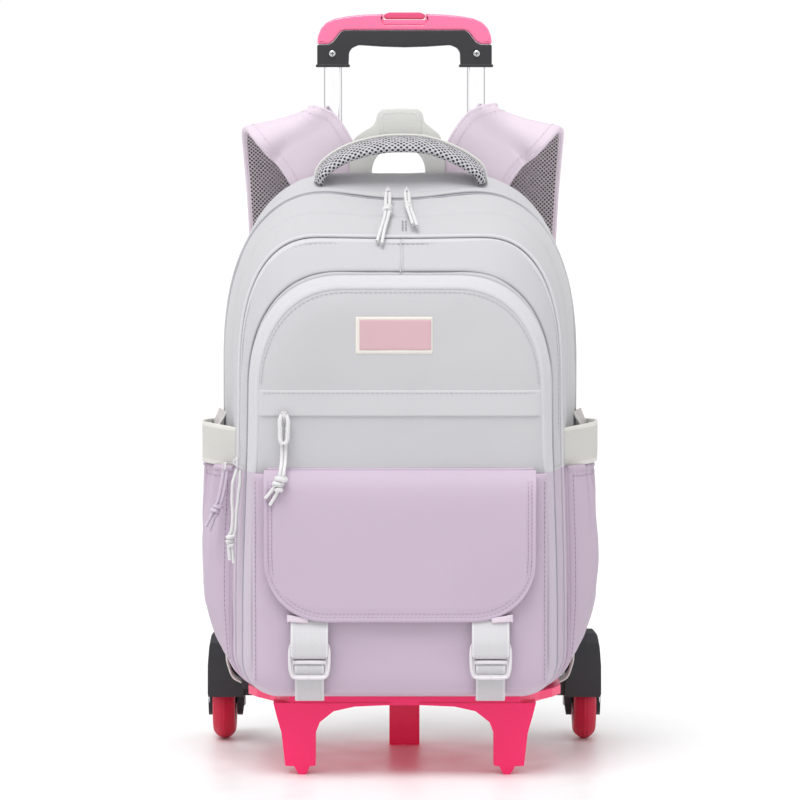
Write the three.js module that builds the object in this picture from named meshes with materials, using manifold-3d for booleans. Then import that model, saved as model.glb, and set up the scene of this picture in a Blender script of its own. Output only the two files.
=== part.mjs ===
// Wheeled school backpack on a two-wheel trolley. Millimetres, +Z up, +X right seen from the front, -Y towards the front.
import * as THREE from 'three';
import { mergeVertices } from 'three/addons/utils/BufferGeometryUtils.js';
import Module from 'manifold-3d';

const wasm = await Module();
wasm.setup();
const { Manifold, Mesh: MMesh } = wasm;
const V = (x, y, z) => new THREE.Vector3(x, y, z);

// ---------------------------------------------------------------- named sizes
const BAG_X = -4;          // the bag sits 4 mm to the left of the trolley's middle
const CENTRE_Y = -21.6;    // moves the whole part so that its box is centred on the origin
const WALL = 2.6;          // cloth walls with their foam
const GAP = 0.4;           // gap between neighbouring pieces
const TUBE_X = 64, TUBE_Y = 97;
const WHEEL = { x: 163.7, y: 130, z: 35, r: 35, w: 20.6 };
const TRAY = { z0: 60, z1: 67.6, half: 137, y0: -81, y1: 112 };

// outline of the bag at several depths: half widths (w up, wb low), top corner (ax, az, power n), top, bottom, bottom corner, sag
const SECTIONS = [
  { y: 76, w: 147, wb: 147, ax: 104, az: 163, n: 2.5, zt: 511, zb: 74.5, rb: 34, dip: 0 },
  { y: 68, w: 153.5, wb: 152, ax: 110, az: 169, n: 2.5, zt: 517, zb: 68.6, rb: 38, dip: 1 },
  { y: 30, w: 154.5, wb: 153, ax: 102, az: 156, n: 2.5, zt: 501, zb: 68.2, rb: 38, dip: 8 },
  { y: -10, w: 146, wb: 149, ax: 84, az: 132, n: 2.6, zt: 483, zb: 68.2, rb: 36, dip: 5 },
  { y: -45, w: 138, wb: 142, ax: 70, az: 122, n: 2.5, zt: 462, zb: 68.2, rb: 34, dip: 1 },
  { y: -85, w: 129.5, wb: 134.5, ax: 82, az: 101, n: 2.3, zt: 430.5, zb: 68.6, rb: 31, dip: 0 },
  { y: -92, w: 124.5, wb: 130, ax: 78, az: 96, n: 2.3, zt: 424.5, zb: 71.5, rb: 29, dip: 0 },
];

function section(y) {
  const s = SECTIONS;
  if (y >= s[0].y) return { ...s[0], y };
  for (let i = 1; i < s.length; i++) if (y >= s[i].y) {
    const t = (y - s[i].y) / (s[i - 1].y - s[i].y), o = { y };
    for (const k of ['w', 'wb', 'ax', 'az', 'n', 'zt', 'zb', 'rb', 'dip']) o[k] = s[i][k] + t * (s[i - 1][k] - s[i][k]);
    return o;
  }
  return { ...s[s.length - 1], y };
}
const smooth = (a, b, v) => { const t = Math.min(1, Math.max(0, (v - a) / (b - a))); return t * t * (3 - 2 * t); };
const sideWidth = (s, z) => s.wb + (s.w - s.wb) * smooth(130, 340, z);

// closed outline seen from the front, starting at the middle of the bottom
function outline(s, inset = 0, scale = 1) {
  const h = [], NB = 2, NC = 4, NS = 3, NT = 8, NE = 4;
  const w0 = s.w - inset, zb = s.zb + inset, rb = Math.max(4, s.rb - inset);
  const zt = s.zt - inset, ax = s.ax - inset * 0.5, az = s.az - inset;
  const wB = s.wb - inset;
  for (let i = 0; i < NB; i++) h.push([(wB - rb) * i / NB, zb]);
  for (let i = 0; i < NC; i++) {
    const a = Math.PI / 2 * i / NC;
    h.push([wB - rb + rb * Math.sin(a), zb + rb - rb * Math.cos(a)]);
  }
  const z0 = zb + rb, z1 = zt - az;
  for (let i = 0; i < NS; i++) { const z = z0 + (z1 - z0) * i / NS; h.push([sideWidth(s, z) - inset, z]); }
  for (let i = 0; i < NT; i++) {
    const a = Math.PI / 2 * i / NT;
    h.push([w0 - ax + ax * Math.cos(a) ** (2 / s.n), zt - az + az * Math.sin(a) ** (2 / s.n)]);
  }
  for (let i = 0; i <= NE; i++) h.push([(w0 - ax) * (1 - i / NE), zt]);
  const dip = (x) => s.dip * Math.exp(-((x / 52) ** 2));
  const half = h.map(([x, z], i) => [x, z - (i > NB + NC + NS ? dip(x) : 0)]);
  const all = [...half];
  for (let i = half.length - 2; i > 0; i--) all.push([-half[i][0], half[i][1]]);
  const cz = (s.zt + s.zb) / 2;
  return all.map(([x, z]) => [x * scale, cz + (z - cz) * scale]);
}
const ring = (s, inset, scale, y) => outline(s, inset, scale).map(([x, z]) => V(x, y, z));

// ---------------------------------------------------------------- solids
function orient(pos, idx) {
  let v = 0;
  for (let i = 0; i < idx.length; i += 3) v += pos[idx[i]].dot(V(0, 0, 0).crossVectors(pos[idx[i + 1]], pos[idx[i + 2]]));
  if (v < 0) for (let i = 0; i < idx.length; i += 3) [idx[i], idx[i + 1]] = [idx[i + 1], idx[i]];
  const g = new THREE.BufferGeometry();
  g.setAttribute('position', new THREE.Float32BufferAttribute(pos.flatMap((p) => [p.x, p.y, p.z]), 3));
  g.setIndex(idx);
  return g;
}
// a closed solid through a row of rings with equal point counts; loops = the last ring meets the first
function loft(rings, loops = false) {
  const n = rings[0].length, pos = rings.flat(), idx = [], m = rings.length;
  for (let i = 0; i < (loops ? m : m - 1); i++) for (let j = 0; j < n; j++) {
    const a = i * n + j, b = i * n + (j + 1) % n, c = ((i + 1) % m) * n + j, d = ((i + 1) % m) * n + (j + 1) % n;
    idx.push(a, b, d, a, d, c);
  }
  if (!loops) for (const [r, f] of [[0, 1], [m - 1, 0]]) {
    const c = V(0, 0, 0);
    rings[r].forEach((p) => c.addScaledVector(p, 1 / n));
    const k = pos.push(c) - 1;
    for (let j = 0; j < n; j++) { const a = r * n + j, b = r * n + (j + 1) % n; f ? idx.push(k, b, a) : idx.push(k, a, b); }
  }
  return orient(pos, idx);
}
// a sheet of even thickness over a surface function of u and v in 0..1; side says on which side the thickness lies
function sheet(fn, nu, nv, thick, side = 1, back = null) {
  const F = [], e = 1e-3, pos = [], idx = [];
  for (let i = 0; i <= nu; i++) for (let j = 0; j <= nv; j++) {
    const u = i / nu, v = j / nv, p = fn(u, v);
    const du = fn(Math.min(1, u + e), v).sub(fn(Math.max(0, u - e), v)), dv = fn(u, Math.min(1, v + e)).sub(fn(u, Math.max(0, v - e)));
    F.push(p, back ? back(u, v) : p.clone().addScaledVector(V(0, 0, 0).crossVectors(du, dv).normalize(), thick * side));
  }
  const id = (i, j, k) => (i * (nv + 1) + j) * 2 + k;
  pos.push(...F);
  for (let i = 0; i < nu; i++) for (let j = 0; j < nv; j++) for (const k of [0, 1]) {
    const q = [id(i, j, k), id(i + 1, j, k), id(i + 1, j + 1, k), id(i, j + 1, k)];
    k ? idx.push(q[0], q[1], q[2], q[0], q[2], q[3]) : idx.push(q[0], q[2], q[1], q[0], q[3], q[2]);
  }
  const edge = (a, b) => idx.push(id(...a, 0), id(...b, 0), id(...b, 1), id(...a, 0), id(...b, 1), id(...a, 1));
  for (let i = 0; i < nu; i++) { edge([i, 0], [i + 1, 0]); edge([i + 1, nv], [i, nv]); }
  for (let j = 0; j < nv; j++) { edge([0, j + 1], [0, j]); edge([nu, j], [nu, j + 1]); }
  return orient(pos, idx);
}
// a strap: a rounded flat section carried along points, each with its own width direction
function strap(rows, width, thick, steps = 24, soft = 0.35, lean = null) {
  const P = new THREE.CatmullRomCurve3(rows.map((r) => V(r.x, r.y, r.z)), false, 'centripetal');
  const W = new THREE.CatmullRomCurve3(rows.map((r) => V(r.wx ?? 1, r.wy ?? 0, r.wz ?? 0)), false, 'centripetal');
  const rings = [];
  for (let i = 0; i <= steps; i++) {
    const t = i / steps, p = P.getPoint(t), tan = P.getTangent(t);
    const w = W.getPoint(t); w.addScaledVector(tan, -w.dot(tan)).normalize();
    const n = V(0, 0, 0).crossVectors(tan, w).normalize();
    if (lean) p.addScaledVector(w, lean(t));
    const wd = typeof width === 'function' ? width(t) : width;
    const th = typeof thick === 'function' ? thick(t) : thick;
    const a = wd / 2, b = th / 2, c = th * soft;
    rings.push([[a, -b + c], [a, b - c], [a - c, b], [-a + c, b], [-a, b - c], [-a, -b + c], [-a + c, -b], [a - c, -b]]
      .map(([s, q]) => p.clone().addScaledVector(w, s).addScaledVector(n, q)));
  }
  return loft(rings);
}
const solid = (g) => {
  const q = g.clone(); q.deleteAttribute('normal'); q.deleteAttribute('uv');
  const m = mergeVertices(q, 1e-4);
  const idx = m.index.array, out = [];
  for (let i = 0; i < idx.length; i += 3) if (idx[i] !== idx[i + 1] && idx[i + 1] !== idx[i + 2] && idx[i] !== idx[i + 2]) out.push(idx[i], idx[i + 1], idx[i + 2]);
  return new Manifold(new MMesh({ numProp: 3, vertProperties: new Float32Array(m.attributes.position.array), triVerts: new Uint32Array(out) }));
};
const geo = (m) => {
  const r = m.getMesh(), g = new THREE.BufferGeometry();
  g.setAttribute('position', new THREE.BufferAttribute(new Float32Array(r.vertProperties), 3));
  g.setIndex(new THREE.BufferAttribute(new Uint32Array(r.triVerts), 1));
  return g;
};
const box = (x0, x1, y0, y1, z0, z1) => new THREE.BoxGeometry(x1 - x0, y1 - y0, z1 - z0).translate((x0 + x1) / 2, (y0 + y1) / 2, (z0 + z1) / 2);
const shapeOf = (pts) => new THREE.Shape(pts.map(([a, b]) => new THREE.Vector2(a, b)));
// a front-view outline (x, z) given depth from y0 to y1
function plateXZ(pts, y0, y1, bevel = 0) {
  const g = new THREE.ExtrudeGeometry(shapeOf(pts), { depth: y1 - y0 - 2 * bevel, bevelEnabled: bevel > 0, bevelThickness: bevel, bevelSize: bevel, bevelOffset: -bevel, bevelSegments: 2, curveSegments: 6 });
  return g.rotateX(Math.PI / 2).translate(0, y1 - bevel, 0);
}
// a side-view outline (y, z) given width from x0 to x1
function plateYZ(pts, x0, x1) {
  const g = new THREE.ExtrudeGeometry(shapeOf(pts), { depth: x1 - x0, bevelEnabled: false });
  return g.applyMatrix4(new THREE.Matrix4().set(0, 0, 1, x0, 1, 0, 0, 0, 0, 1, 0, 0, 0, 0, 0, 1));
}
const arc = (cx, cz, r, a0, a1, n) => Array.from({ length: n + 1 }, (_, i) => { const a = (a0 + (a1 - a0) * i / n) * Math.PI / 180; return [cx + r * Math.cos(a), cz + r * Math.sin(a)]; });
const rod = (r, len, seg = 20) => new THREE.CylinderGeometry(r, r, len, seg);
const pipe = (r0, r1, z0, z1, seg = 20) => new THREE.LatheGeometry([[r0, z0], [r1, z0], [r1, z1], [r0, z1], [r0, z0]].map(([a, b]) => new THREE.Vector2(a, b)), seg).rotateX(Math.PI / 2);
const tube = (pts, r, step = 8) => {
  const c = new THREE.CatmullRomCurve3(pts.map(([x, y, z]) => V(x, y, z)), false, 'centripetal');
  const s = shapeOf(arc(0, 0, r, 0, 315, 7));
  return new THREE.ExtrudeGeometry(s, { extrudePath: c, steps: Math.max(6, Math.round(c.getLength() / step)), bevelEnabled: false });
};

// ---------------------------------------------------------------- materials
const mat = (hex, rough, metal = 0) => new THREE.MeshStandardMaterial({ color: hex, roughness: rough, metalness: metal });
const M = {
  grey: mat(0xd9d9db, 0.8), lavender: mat(0xcdbfd2, 0.8), ivory: mat(0xe6e5e0, 0.85), mesh: mat(0x8f9093, 0.9),
  white: mat(0xe8e4ec, 0.45), black: mat(0x2b2b2e, 0.5), pinkBase: mat(0xff2e73, 0.4), pinkGrip: mat(0xff78a6, 0.35),
  red: mat(0xd0113c, 0.5), alu: mat(0xc9cbce, 0.3, 0.9), steel: mat(0xb9bbbd, 0.3, 0.9), label: mat(0xd9b7bd, 0.85),
};

const root = new THREE.Group();
root.position.set(0, CENTRE_Y, 0);
const bag = new THREE.Group(), trolley = new THREE.Group();
bag.position.x = BAG_X;
root.add(bag, trolley);
function put(parent, name, geometry, material) {
  if (geometry.isBufferGeometry && !geometry.attributes.normal) geometry.computeVertexNormals();
  const m = new THREE.Mesh(geometry, material);
  m.name = name;
  parent.add(m);
  return m;
}

// ---------------------------------------------------------------- bag shells, each a cup that opens backwards or forwards
// closed end rounded through (inset, y offset) pairs
function cup(yClosed, yOpen, bulge, edge) {
  const dir = Math.sign(yOpen - yClosed);
  const rings = [];
  for (const e of bulge) rings.push({ s: section(yClosed + dir * e.d), inset: e.inset, scale: e.scale, y: yClosed + dir * e.d });
  const mids = SECTIONS.map((s) => s.y).filter((y) => (y - yClosed) * dir > edge && (yOpen - y) * dir > 1);
  mids.sort((a, b) => (a - b) * dir);
  for (const y of mids) rings.push({ s: section(y), inset: 0, scale: 1, y });
  rings.push({ s: section(yOpen), inset: 0, scale: 1, y: yOpen });
  const outer = rings.map((r) => ring(r.s, r.inset, r.scale, r.y));
  const inner = rings.map((r, i) => {
    const y = i < bulge.length ? Math.max(r.y * dir, yClosed * dir) * dir + dir * WALL * (1 - i / (bulge.length + 1)) : r.y;
    return ring(r.s, r.inset + WALL, r.scale, i === rings.length - 1 ? r.y : y);
  });
  return loft([...outer, ...inner.reverse()]);
}
put(bag, 'back_shell', cup(76, 30 + GAP / 2, [
  { d: 0, inset: 0, scale: 0.6 }, { d: 0, inset: 5, scale: 1 }, { d: 3, inset: 1, scale: 1 }, { d: 8, inset: 0, scale: 1 }], 9), M.grey);
put(bag, 'main_shell', cup(-45 + GAP / 2, 30 - GAP / 2, [
  { d: 0, inset: 0, scale: 0.6 }, { d: 0, inset: 0.6, scale: 1 }, { d: 3, inset: 0, scale: 1 }], 4), M.grey);
put(bag, 'second_shell', cup(-85 + GAP / 2, -45 - GAP / 2, [
  { d: 0, inset: 0, scale: 0.6 }, { d: 0, inset: 0.6, scale: 1 }, { d: 3, inset: 0, scale: 1 }], 4), M.grey);

// the front panel: a shallow dome; its height over the plane is a short table of scale and depth
const DOME = [{ s: 1, y: -92 }, { s: 0.985, y: -96.5 }, { s: 0.95, y: -100 }, { s: 0.88, y: -102.4 }, { s: 0.74, y: -103.6 }, { s: 0.45, y: -104.1 }];
{
  const f = section(-92), outer = DOME.map((d) => ring(f, 0, d.s, d.y)).reverse();
  outer.push(ring(section(-85 - GAP / 2), 0, 1, -85 - GAP / 2));
  const inner = DOME.map((d) => ring(f, WALL, d.s, d.y + WALL)).reverse();
  inner.push(ring(section(-85 - GAP / 2), WALL, 1, -85 - GAP / 2));
  put(bag, 'front_shell', loft([...outer, ...inner.reverse()]), M.grey);
}
const FRONT = outline(section(-92));
function frontY(x, z) {
  const f = section(-92), cz = (f.zt + f.zb) / 2, dx = x, dz = z - cz;
  let hit = 1e9;
  for (let i = 0; i < FRONT.length; i++) {
    const [x0, z0] = FRONT[i], [x1, z1] = FRONT[(i + 1) % FRONT.length], ex = x1 - x0, ez = z1 - z0;
    const det = dx * -ez + dz * ex; if (Math.abs(det) < 1e-9) continue;
    const t = (x0 * -ez + (z0 - cz) * ex) / det, u = (dx * (z0 - cz) - dz * x0) / det;
    if (t > 0 && u >= -1e-6 && u <= 1 + 1e-6) hit = Math.min(hit, t);
  }
  const s = 1 / hit;
  if (s <= 0.45) return -104.1;
  for (let i = 1; i < DOME.length; i++) if (s >= DOME[i].s) {
    const t = (s - DOME[i].s) / (DOME[i - 1].s - DOME[i].s);
    return DOME[i].y + t * (DOME[i - 1].y - DOME[i].y);
  }
  return -104.1;
}

// patch pocket under the flap: one sheet, sewn at its sides and bottom, open along its top
const POCKET = { half: 126, z0: 73, z1: 250, y: -105, deep: 11.6 };
const pocketFn = (u, v) => {
  const a = (u - 0.5) * 2, s = Math.sign(a) * Math.abs(a) ** 0.82;
  const rise = Math.min(1, (1 - Math.abs(s) ** 7) ** 0.5) * Math.min(1, (1 - (1 - Math.min(1, v / 0.22)) ** 2.4) ** 0.6);
  const low = 9 * Math.abs(s) ** 6 * (1 - v) ** 3;
  return V(s * POCKET.half, POCKET.y - POCKET.deep * rise, POCKET.z0 + low + (POCKET.z1 - POCKET.z0 - low) * v ** 1.25);
};
put(bag, 'front_pocket', sheet(pocketFn, 16, 9, 2.2, -1), M.lavender);

// flap over the pocket, with rounded lower corners
const FLAP = { half: 115.5, z0: 265, z1: 137.5, corner: 56 };
const flapFn = (u, v) => {
  const x = (u - 0.5) * 2 * FLAP.half, over = Math.max(0, Math.abs(x) - (FLAP.half - FLAP.corner)) / FLAP.corner;
  const zb = FLAP.z1 + 52 * (1 - Math.sqrt(Math.max(0, 1 - over ** 2.2)));
  const z = FLAP.z0 + (zb - FLAP.z0) * v;
  const fall = FLAP.z0 - z;
  const out = Math.min(1, 1 - Math.exp(-fall / 7)) * 15.6;
  return V(x, -105.2 - out - 0.8 * Math.sin(Math.PI * v) - (1 - (x / FLAP.half) ** 2) * 0.6, z);
};
put(bag, 'flap', sheet(flapFn, 14, 10, 2, -1), M.lavender);

// bare sewn patch where the photo's label sits
put(bag, 'label_patch', sheet((u, v) => { const x = -37.5 + 65 * u, z = 395.5 - 31 * v; return V(x, frontY(x, z) - GAP - 0.05, z); }, 4, 2, 1, -1), M.label);

// ---------------------------------------------------------------- side pockets: open-top pouches sewn to the body's sides
// bulge of the pouch at each height
const POUCH = [{ z: 70, b: -9 }, { z: 80, b: -2 }, { z: 92, b: 3 }, { z: 108, b: 9.4 }, { z: 129, b: 16 }, { z: 141, b: 19 }, { z: 158, b: 20.4 }, { z: 193, b: 21 }, { z: 228, b: 17.8 }, { z: 245, b: 16.3 }, { z: 262, b: 15 }];
const lerpTable = (tab, key, val, at) => {
  if (at <= tab[0][key]) return tab[0][val];
  for (let i = 1; i < tab.length; i++) if (at <= tab[i][key]) { const t = (at - tab[i - 1][key]) / (tab[i][key] - tab[i - 1][key]); return tab[i - 1][val] + t * (tab[i][val] - tab[i - 1][val]); }
  return tab[tab.length - 1][val];
};
function bodyHalf(y, z) {
  const s = section(y);
  if (z < s.zb + s.rb) { const d = (s.zb + s.rb - z) / s.rb; return s.wb - s.rb + s.rb * Math.sqrt(Math.max(0, 1 - d * d)); }
  return sideWidth(s, z);
}
const POUCH_Y = { front: -30, back: 60 };
const pouchFn = (side) => (u, v) => {
  const z = POUCH[0].z + 3 + (POUCH[POUCH.length - 1].z - POUCH[0].z - 3) * v;
  const y = POUCH_Y.front + (POUCH_Y.back - POUCH_Y.front) * u;
  const a = Math.abs(u - 0.5) * 2, round = (1 - a ** 3.2) ** 0.62;
  const base = bodyHalf(y, z);
  return V(side * (base + 3.4 + Math.max(0, lerpTable(POUCH, 'z', 'b', z) - 3) * round), y, z);
};
for (const [name, side] of [['left', -1], ['right', 1]]) put(bag, `side_pocket_${name}`, sheet(pouchFn(side), 12, 9, 2, side), M.lavender);

// ---------------------------------------------------------------- straps and buckles on the front
for (const [name, side] of [['left', -1], ['right', 1]]) {
  const cx = side * 77;
  put(bag, `flap_strap_${name}`, strap([
    { x: cx, y: -119.6, z: 136.6 }, { x: cx, y: -122, z: 131 }, { x: cx, y: -125.4, z: 125.5 }, { x: cx, y: -127.2, z: 119.6 }, { x: cx, y: -127.3, z: 113 }, { x: cx, y: -127.3, z: 107.6 }], 32, 1.8, 10, 0.3), M.ivory);
  const frame = solid(plateXZ([[cx - 15.6, 119.4], [cx - 17.4, 117], [cx - 18, 112], [cx - 17.6, 98], [cx - 14.6, 88.4], [cx + 14.6, 88.4], [cx + 17.6, 98], [cx + 18, 112], [cx + 17.4, 117], [cx + 15.6, 119.4]], -125.8, -122.9, 0.8))
    .subtract(solid(box(cx - 12.6, cx + 12.6, -140, -110, 104.4, 106.6))).subtract(solid(box(cx - 12.6, cx + 12.6, -140, -110, 92.6, 97)));
  put(bag, `buckle_${name}`, geo(frame), M.white);
  put(bag, `base_strap_${name}`, strap([
    { x: cx, y: -121.4, z: 108 }, { x: cx, y: -121.6, z: 96 }, { x: cx, y: -121, z: 84 }, { x: cx, y: -118.2, z: 75 }, { x: cx, y: -112, z: 69.3 }, { x: cx, y: -103, z: 69.2 }], 25, 1.8, 12, 0.3), M.ivory);
}

// ---------------------------------------------------------------- compression straps round the sides, over the pocket tops
for (const [name, side] of [['left', -1], ['right', 1]]) {
  const up = { wx: 0, wy: 0, wz: 1 };
  put(bag, `side_strap_${name}`, strap([
    { x: side * 148.6, y: -22, z: 279, ...up }, { x: side * 159, y: -15, z: 280, ...up }, { x: side * 169.5, y: -2, z: 281, ...up },
    { x: side * 173, y: 13, z: 281.5, ...up }, { x: side * 171, y: 31, z: 281.5, ...up }, { x: side * 160.4, y: 50, z: 281, ...up }], 33, 1.8, 16, 0.3), M.ivory);
}

// ---------------------------------------------------------------- carry handle, hang loop, back pad
const HANDLE = [
  { x: -68, z: 516.5 }, { x: -59, z: 525 }, { x: -43, z: 533.5 }, { x: -17, z: 540 }, { x: 4, z: 541.2 },
  { x: 24, z: 539.6 }, { x: 48, z: 531 }, { x: 62, z: 523 }, { x: 69.5, z: 516.5 }];
put(bag, 'grab_handle', strap(HANDLE.map((r) => ({ ...r, y: 50, wx: 0, wy: 0.93, wz: 0.37 })), 30, 8.6, 20, 0.33), M.mesh);
const LOOP_OUT = [[-45, 503], [-45, 528], [-42, 546], [-33, 552.5], [-22.5, 558.5], [-20, 569], [-16, 572.4], [0, 573.2], [16.5, 572.6], [20, 569], [21.5, 561], [29, 555], [36, 549.5], [40, 530], [40, 503]];
const LOOP_IN = [[-25, 503], [-25, 522], [-20, 532], [-8, 537.5], [8, 537.5], [18, 532], [22.5, 522], [22.5, 503]];
put(bag, 'rear_loop', plateXZ([...LOOP_OUT, ...LOOP_IN.slice().reverse()], 76.4, 78.4), M.ivory);
const padAt = (u, v, up) => {
  const z = 92 + 370 * v, s = section(76), w = sideWidth(s, Math.min(z, 340)) - 24 - 34 * smooth(330, 470, z), x = (u - 0.5) * 2 * w;
  const e = Math.min(1, (1 - Math.abs(u - 0.5) * 2) * 8, v * 10, (1 - v) * 10);
  return V(x, up ? 77.4 + 6 * Math.sqrt(Math.max(0, e * (2 - e))) : 76.4, z);
};
put(bag, 'back_pad', sheet((u, v) => padAt(u, v, true), 12, 12, 0, 1, (u, v) => padAt(u, v, false)), M.mesh);

// ---------------------------------------------------------------- shoulder straps: up from the back panel, over, and down behind
const SHOULDER = [
  { x: 66, y: 81.3, z: 502, wx: 0.985, wz: -0.17 }, { x: 74, y: 81.3, z: 521, wx: 0.95, wz: -0.28 }, { x: 88, y: 81.2, z: 543, wx: 0.94, wz: -0.33 }, { x: 100.5, y: 81.8, z: 555, wx: 0.955, wz: -0.28 },
  { x: 108.5, y: 94, z: 560.3, wx: 0.965, wz: -0.24 }, { x: 111.5, y: 108, z: 555, wx: 0.975, wz: -0.21 },{ x: 111, y: 119, z: 536, wx: 0.985, wz: -0.15 }, { x: 109, y: 125, z: 500, wx: 1, wz: -0.05 },
  { x: 107, y: 127, z: 440, wx: 1, wz: 0 }, { x: 107, y: 125, z: 370, wx: 1, wz: 0.02 }, { x: 110, y: 120, z: 300, wx: 1, wz: 0.04 }, { x: 118, y: 113, z: 238, wx: 0.98, wz: 0.12 }];
const WEBBING = [
  { x: 121, y: 110.5, z: 229, wx: 1, wz: 0.1 }, { x: 129, y: 101, z: 195, wx: 1, wy: 0, wz: 0.15 }, { x: 136.5, y: 91, z: 162, wx: 0.98, wy: -0.05, wz: 0.2 }, { x: 144, y: 82.5, z: 134, wx: 0.9, wy: -0.3, wz: 0.2 },
  { x: 151.5, y: 77.6, z: 110, wx: 0.6, wy: -0.8, wz: 0.1 }, { x: 154.8, y: 75, z: 92, wx: 0.1, wy: -0.99, wz: 0 }, { x: 154.4, y: 74.8, z: 76, wx: 0, wy: -1, wz: 0 }, { x: 149.5, y: 74.8, z: 64, wx: 0, wy: -1, wz: 0 }, { x: 142, y: 74.8, z: 59.4, wx: 0, wy: -1, wz: 0 }];
for (const [name, side] of [['left', -1], ['right', 1]]) {
  const flip = (r) => ({ x: side * r.x, y: r.y, z: r.z, wx: r.wx, wy: side * (r.wy ?? 0), wz: side * (r.wz ?? 0) });
  const over = SHOULDER.map((r, i) => ({ ...r, x: r.x + (side > 0 ? 5 * smooth(1, 4, i) * (1 - smooth(9, 11, i)) : 0) }));
  // the strap is cut wider towards the neck where it rises from the bag
  const neck = (t) => 4 + 6 * smooth(0, 0.12, t) - 10 * smooth(0.17, 0.265, t);
  put(bag, `shoulder_strap_${name}`, strap(over.map(flip), (t) => 56 + 6 * Math.sin(Math.PI * Math.min(1, t * 1.25)) - 14 * smooth(0.8, 1, t) + neck(t), (t) => 4.6 + 2.9 * smooth(0.2, 0.36, t), 40, 0.33, (t) => -side * neck(t) / 2), M.lavender);
  put(bag, `lower_webbing_${name}`, strap(WEBBING.map(flip), 20, 1.8, 20, 0.3), M.ivory);
  const lx = side * 133, lock = solid(plateXZ([[lx - 8, 54], [lx + 8, 54], [lx + 8, 65], [lx - 8, 65]], 62, 86.2, 0.8));
  put(bag, `ladder_lock_${name}`, geo(lock.subtract(solid(box(lx - 4.5, lx + 4.5, 65, 83.2, 40, 80)))), M.black);
}

// ---------------------------------------------------------------- zip pulls: sliders and their cords
const PULLS = [
  { name: 'top_left', pts: [[-10.5, 22, 498.6], [-10.8, 6, 493], [-11, -10, 485.2], [-12, -26, 478.6], [-15, -44, 468.4], [-18, -60, 456.6]] },
  { name: 'top_right', pts: [[6, 22, 498.8], [6.6, 6, 493], [8, -10, 485.4], [10.5, -26, 478.8], [13, -40, 471.2]] },
  { name: 'welt', pts: [[-98.6, -107.2, 303], [-98.8, -108.4, 288], [-99, -112, 274], [-99.6, -121, 267.5], [-101, -125, 259], [-106, -125.2, 249], [-113, -124.8, 239]] },
  { name: 'front_zip', pts: [[-138.4, -79, 264], [-140.6, -80, 250], [-141.6, -80, 236], [-143, -80, 211], [-145.4, -80, 204], [-144.4, -80, 183]] },
  { name: 'side_zip', pts: [[-151.4, -36, 259], [-153.6, -38, 245], [-157, -39, 231], [-163, -39, 218], [-167.5, -38, 208]] },
];
for (const p of PULLS) put(bag, `pull_cord_${p.name}`, tube(p.pts, 1.6, 8), M.white);
put(bag, 'zip_slider_welt', box(-103, -94.2, -108.4, -105.2, 304.6, 316), M.white);
put(bag, 'zip_slider_front', box(-141.4, -138.2, -84, -76, 265.6, 275), M.white);

// ---------------------------------------------------------------- trolley: base, legs
{
  const w = TRAY.half, half = [[w - 38, TRAY.y0], [w - 29, TRAY.y0 + 14], [w - 20, TRAY.y0 + 32], [w - 8, TRAY.y0 + 52], [w, TRAY.y0 + 72], [w, 30], [w - 4, 46], [w - 16.4, 56], [w - 17, 92], [w - 4, 95], [w - 4, TRAY.y1 - 6], [w - 10, TRAY.y1]];
  const plan = [...half, ...half.slice().reverse().map(([x, y]) => [-x, y])];
  let b = solid(new THREE.ExtrudeGeometry(shapeOf(plan), { depth: TRAY.z1 - TRAY.z0, bevelEnabled: false }).translate(0, 0, TRAY.z0));
  const leg = [[-113, 62], [-110, 50], [-106, 36], [-102.8, 7.5], [-95.3, 7.2], [-92.6, 2.6], [-90.6, 0], [-85.6, 0], [-83.6, 2.6], [-81.6, 7.2], [-76.8, 7.8], [-76.6, 36], [-73, 45.4], [-61, 54.9], [-43, 58.9], [-12.4, 60.2], [-12.4, 62]];
  for (const side of [-1, 1]) {
    const pts = leg.map(([x, z]) => [-side * x, z]);
    b = b.add(solid(plateXZ(side < 0 ? pts : pts.slice().reverse(), -82, -58)));
  }
  // rear leg, a channel open to the back
  b = b.add(solid(box(-13.6, 13.6, 86, 108, 0, 62))).subtract(solid(box(-9.6, 9.6, 91, 130, -5, 56)));
  for (const side of [-1, 1]) b = b.add(solid(box(side * TUBE_X - 15, side * TUBE_X + 15, 84, 112, 60.5, 80)));
  for (const side of [-1, 1]) b = b.subtract(solid(rod(11.3, 40).rotateX(Math.PI / 2).translate(side * TUBE_X, TUBE_Y, 84.6)));
  put(trolley, 'trolley_base', geo(b), M.pinkBase);
}

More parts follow.
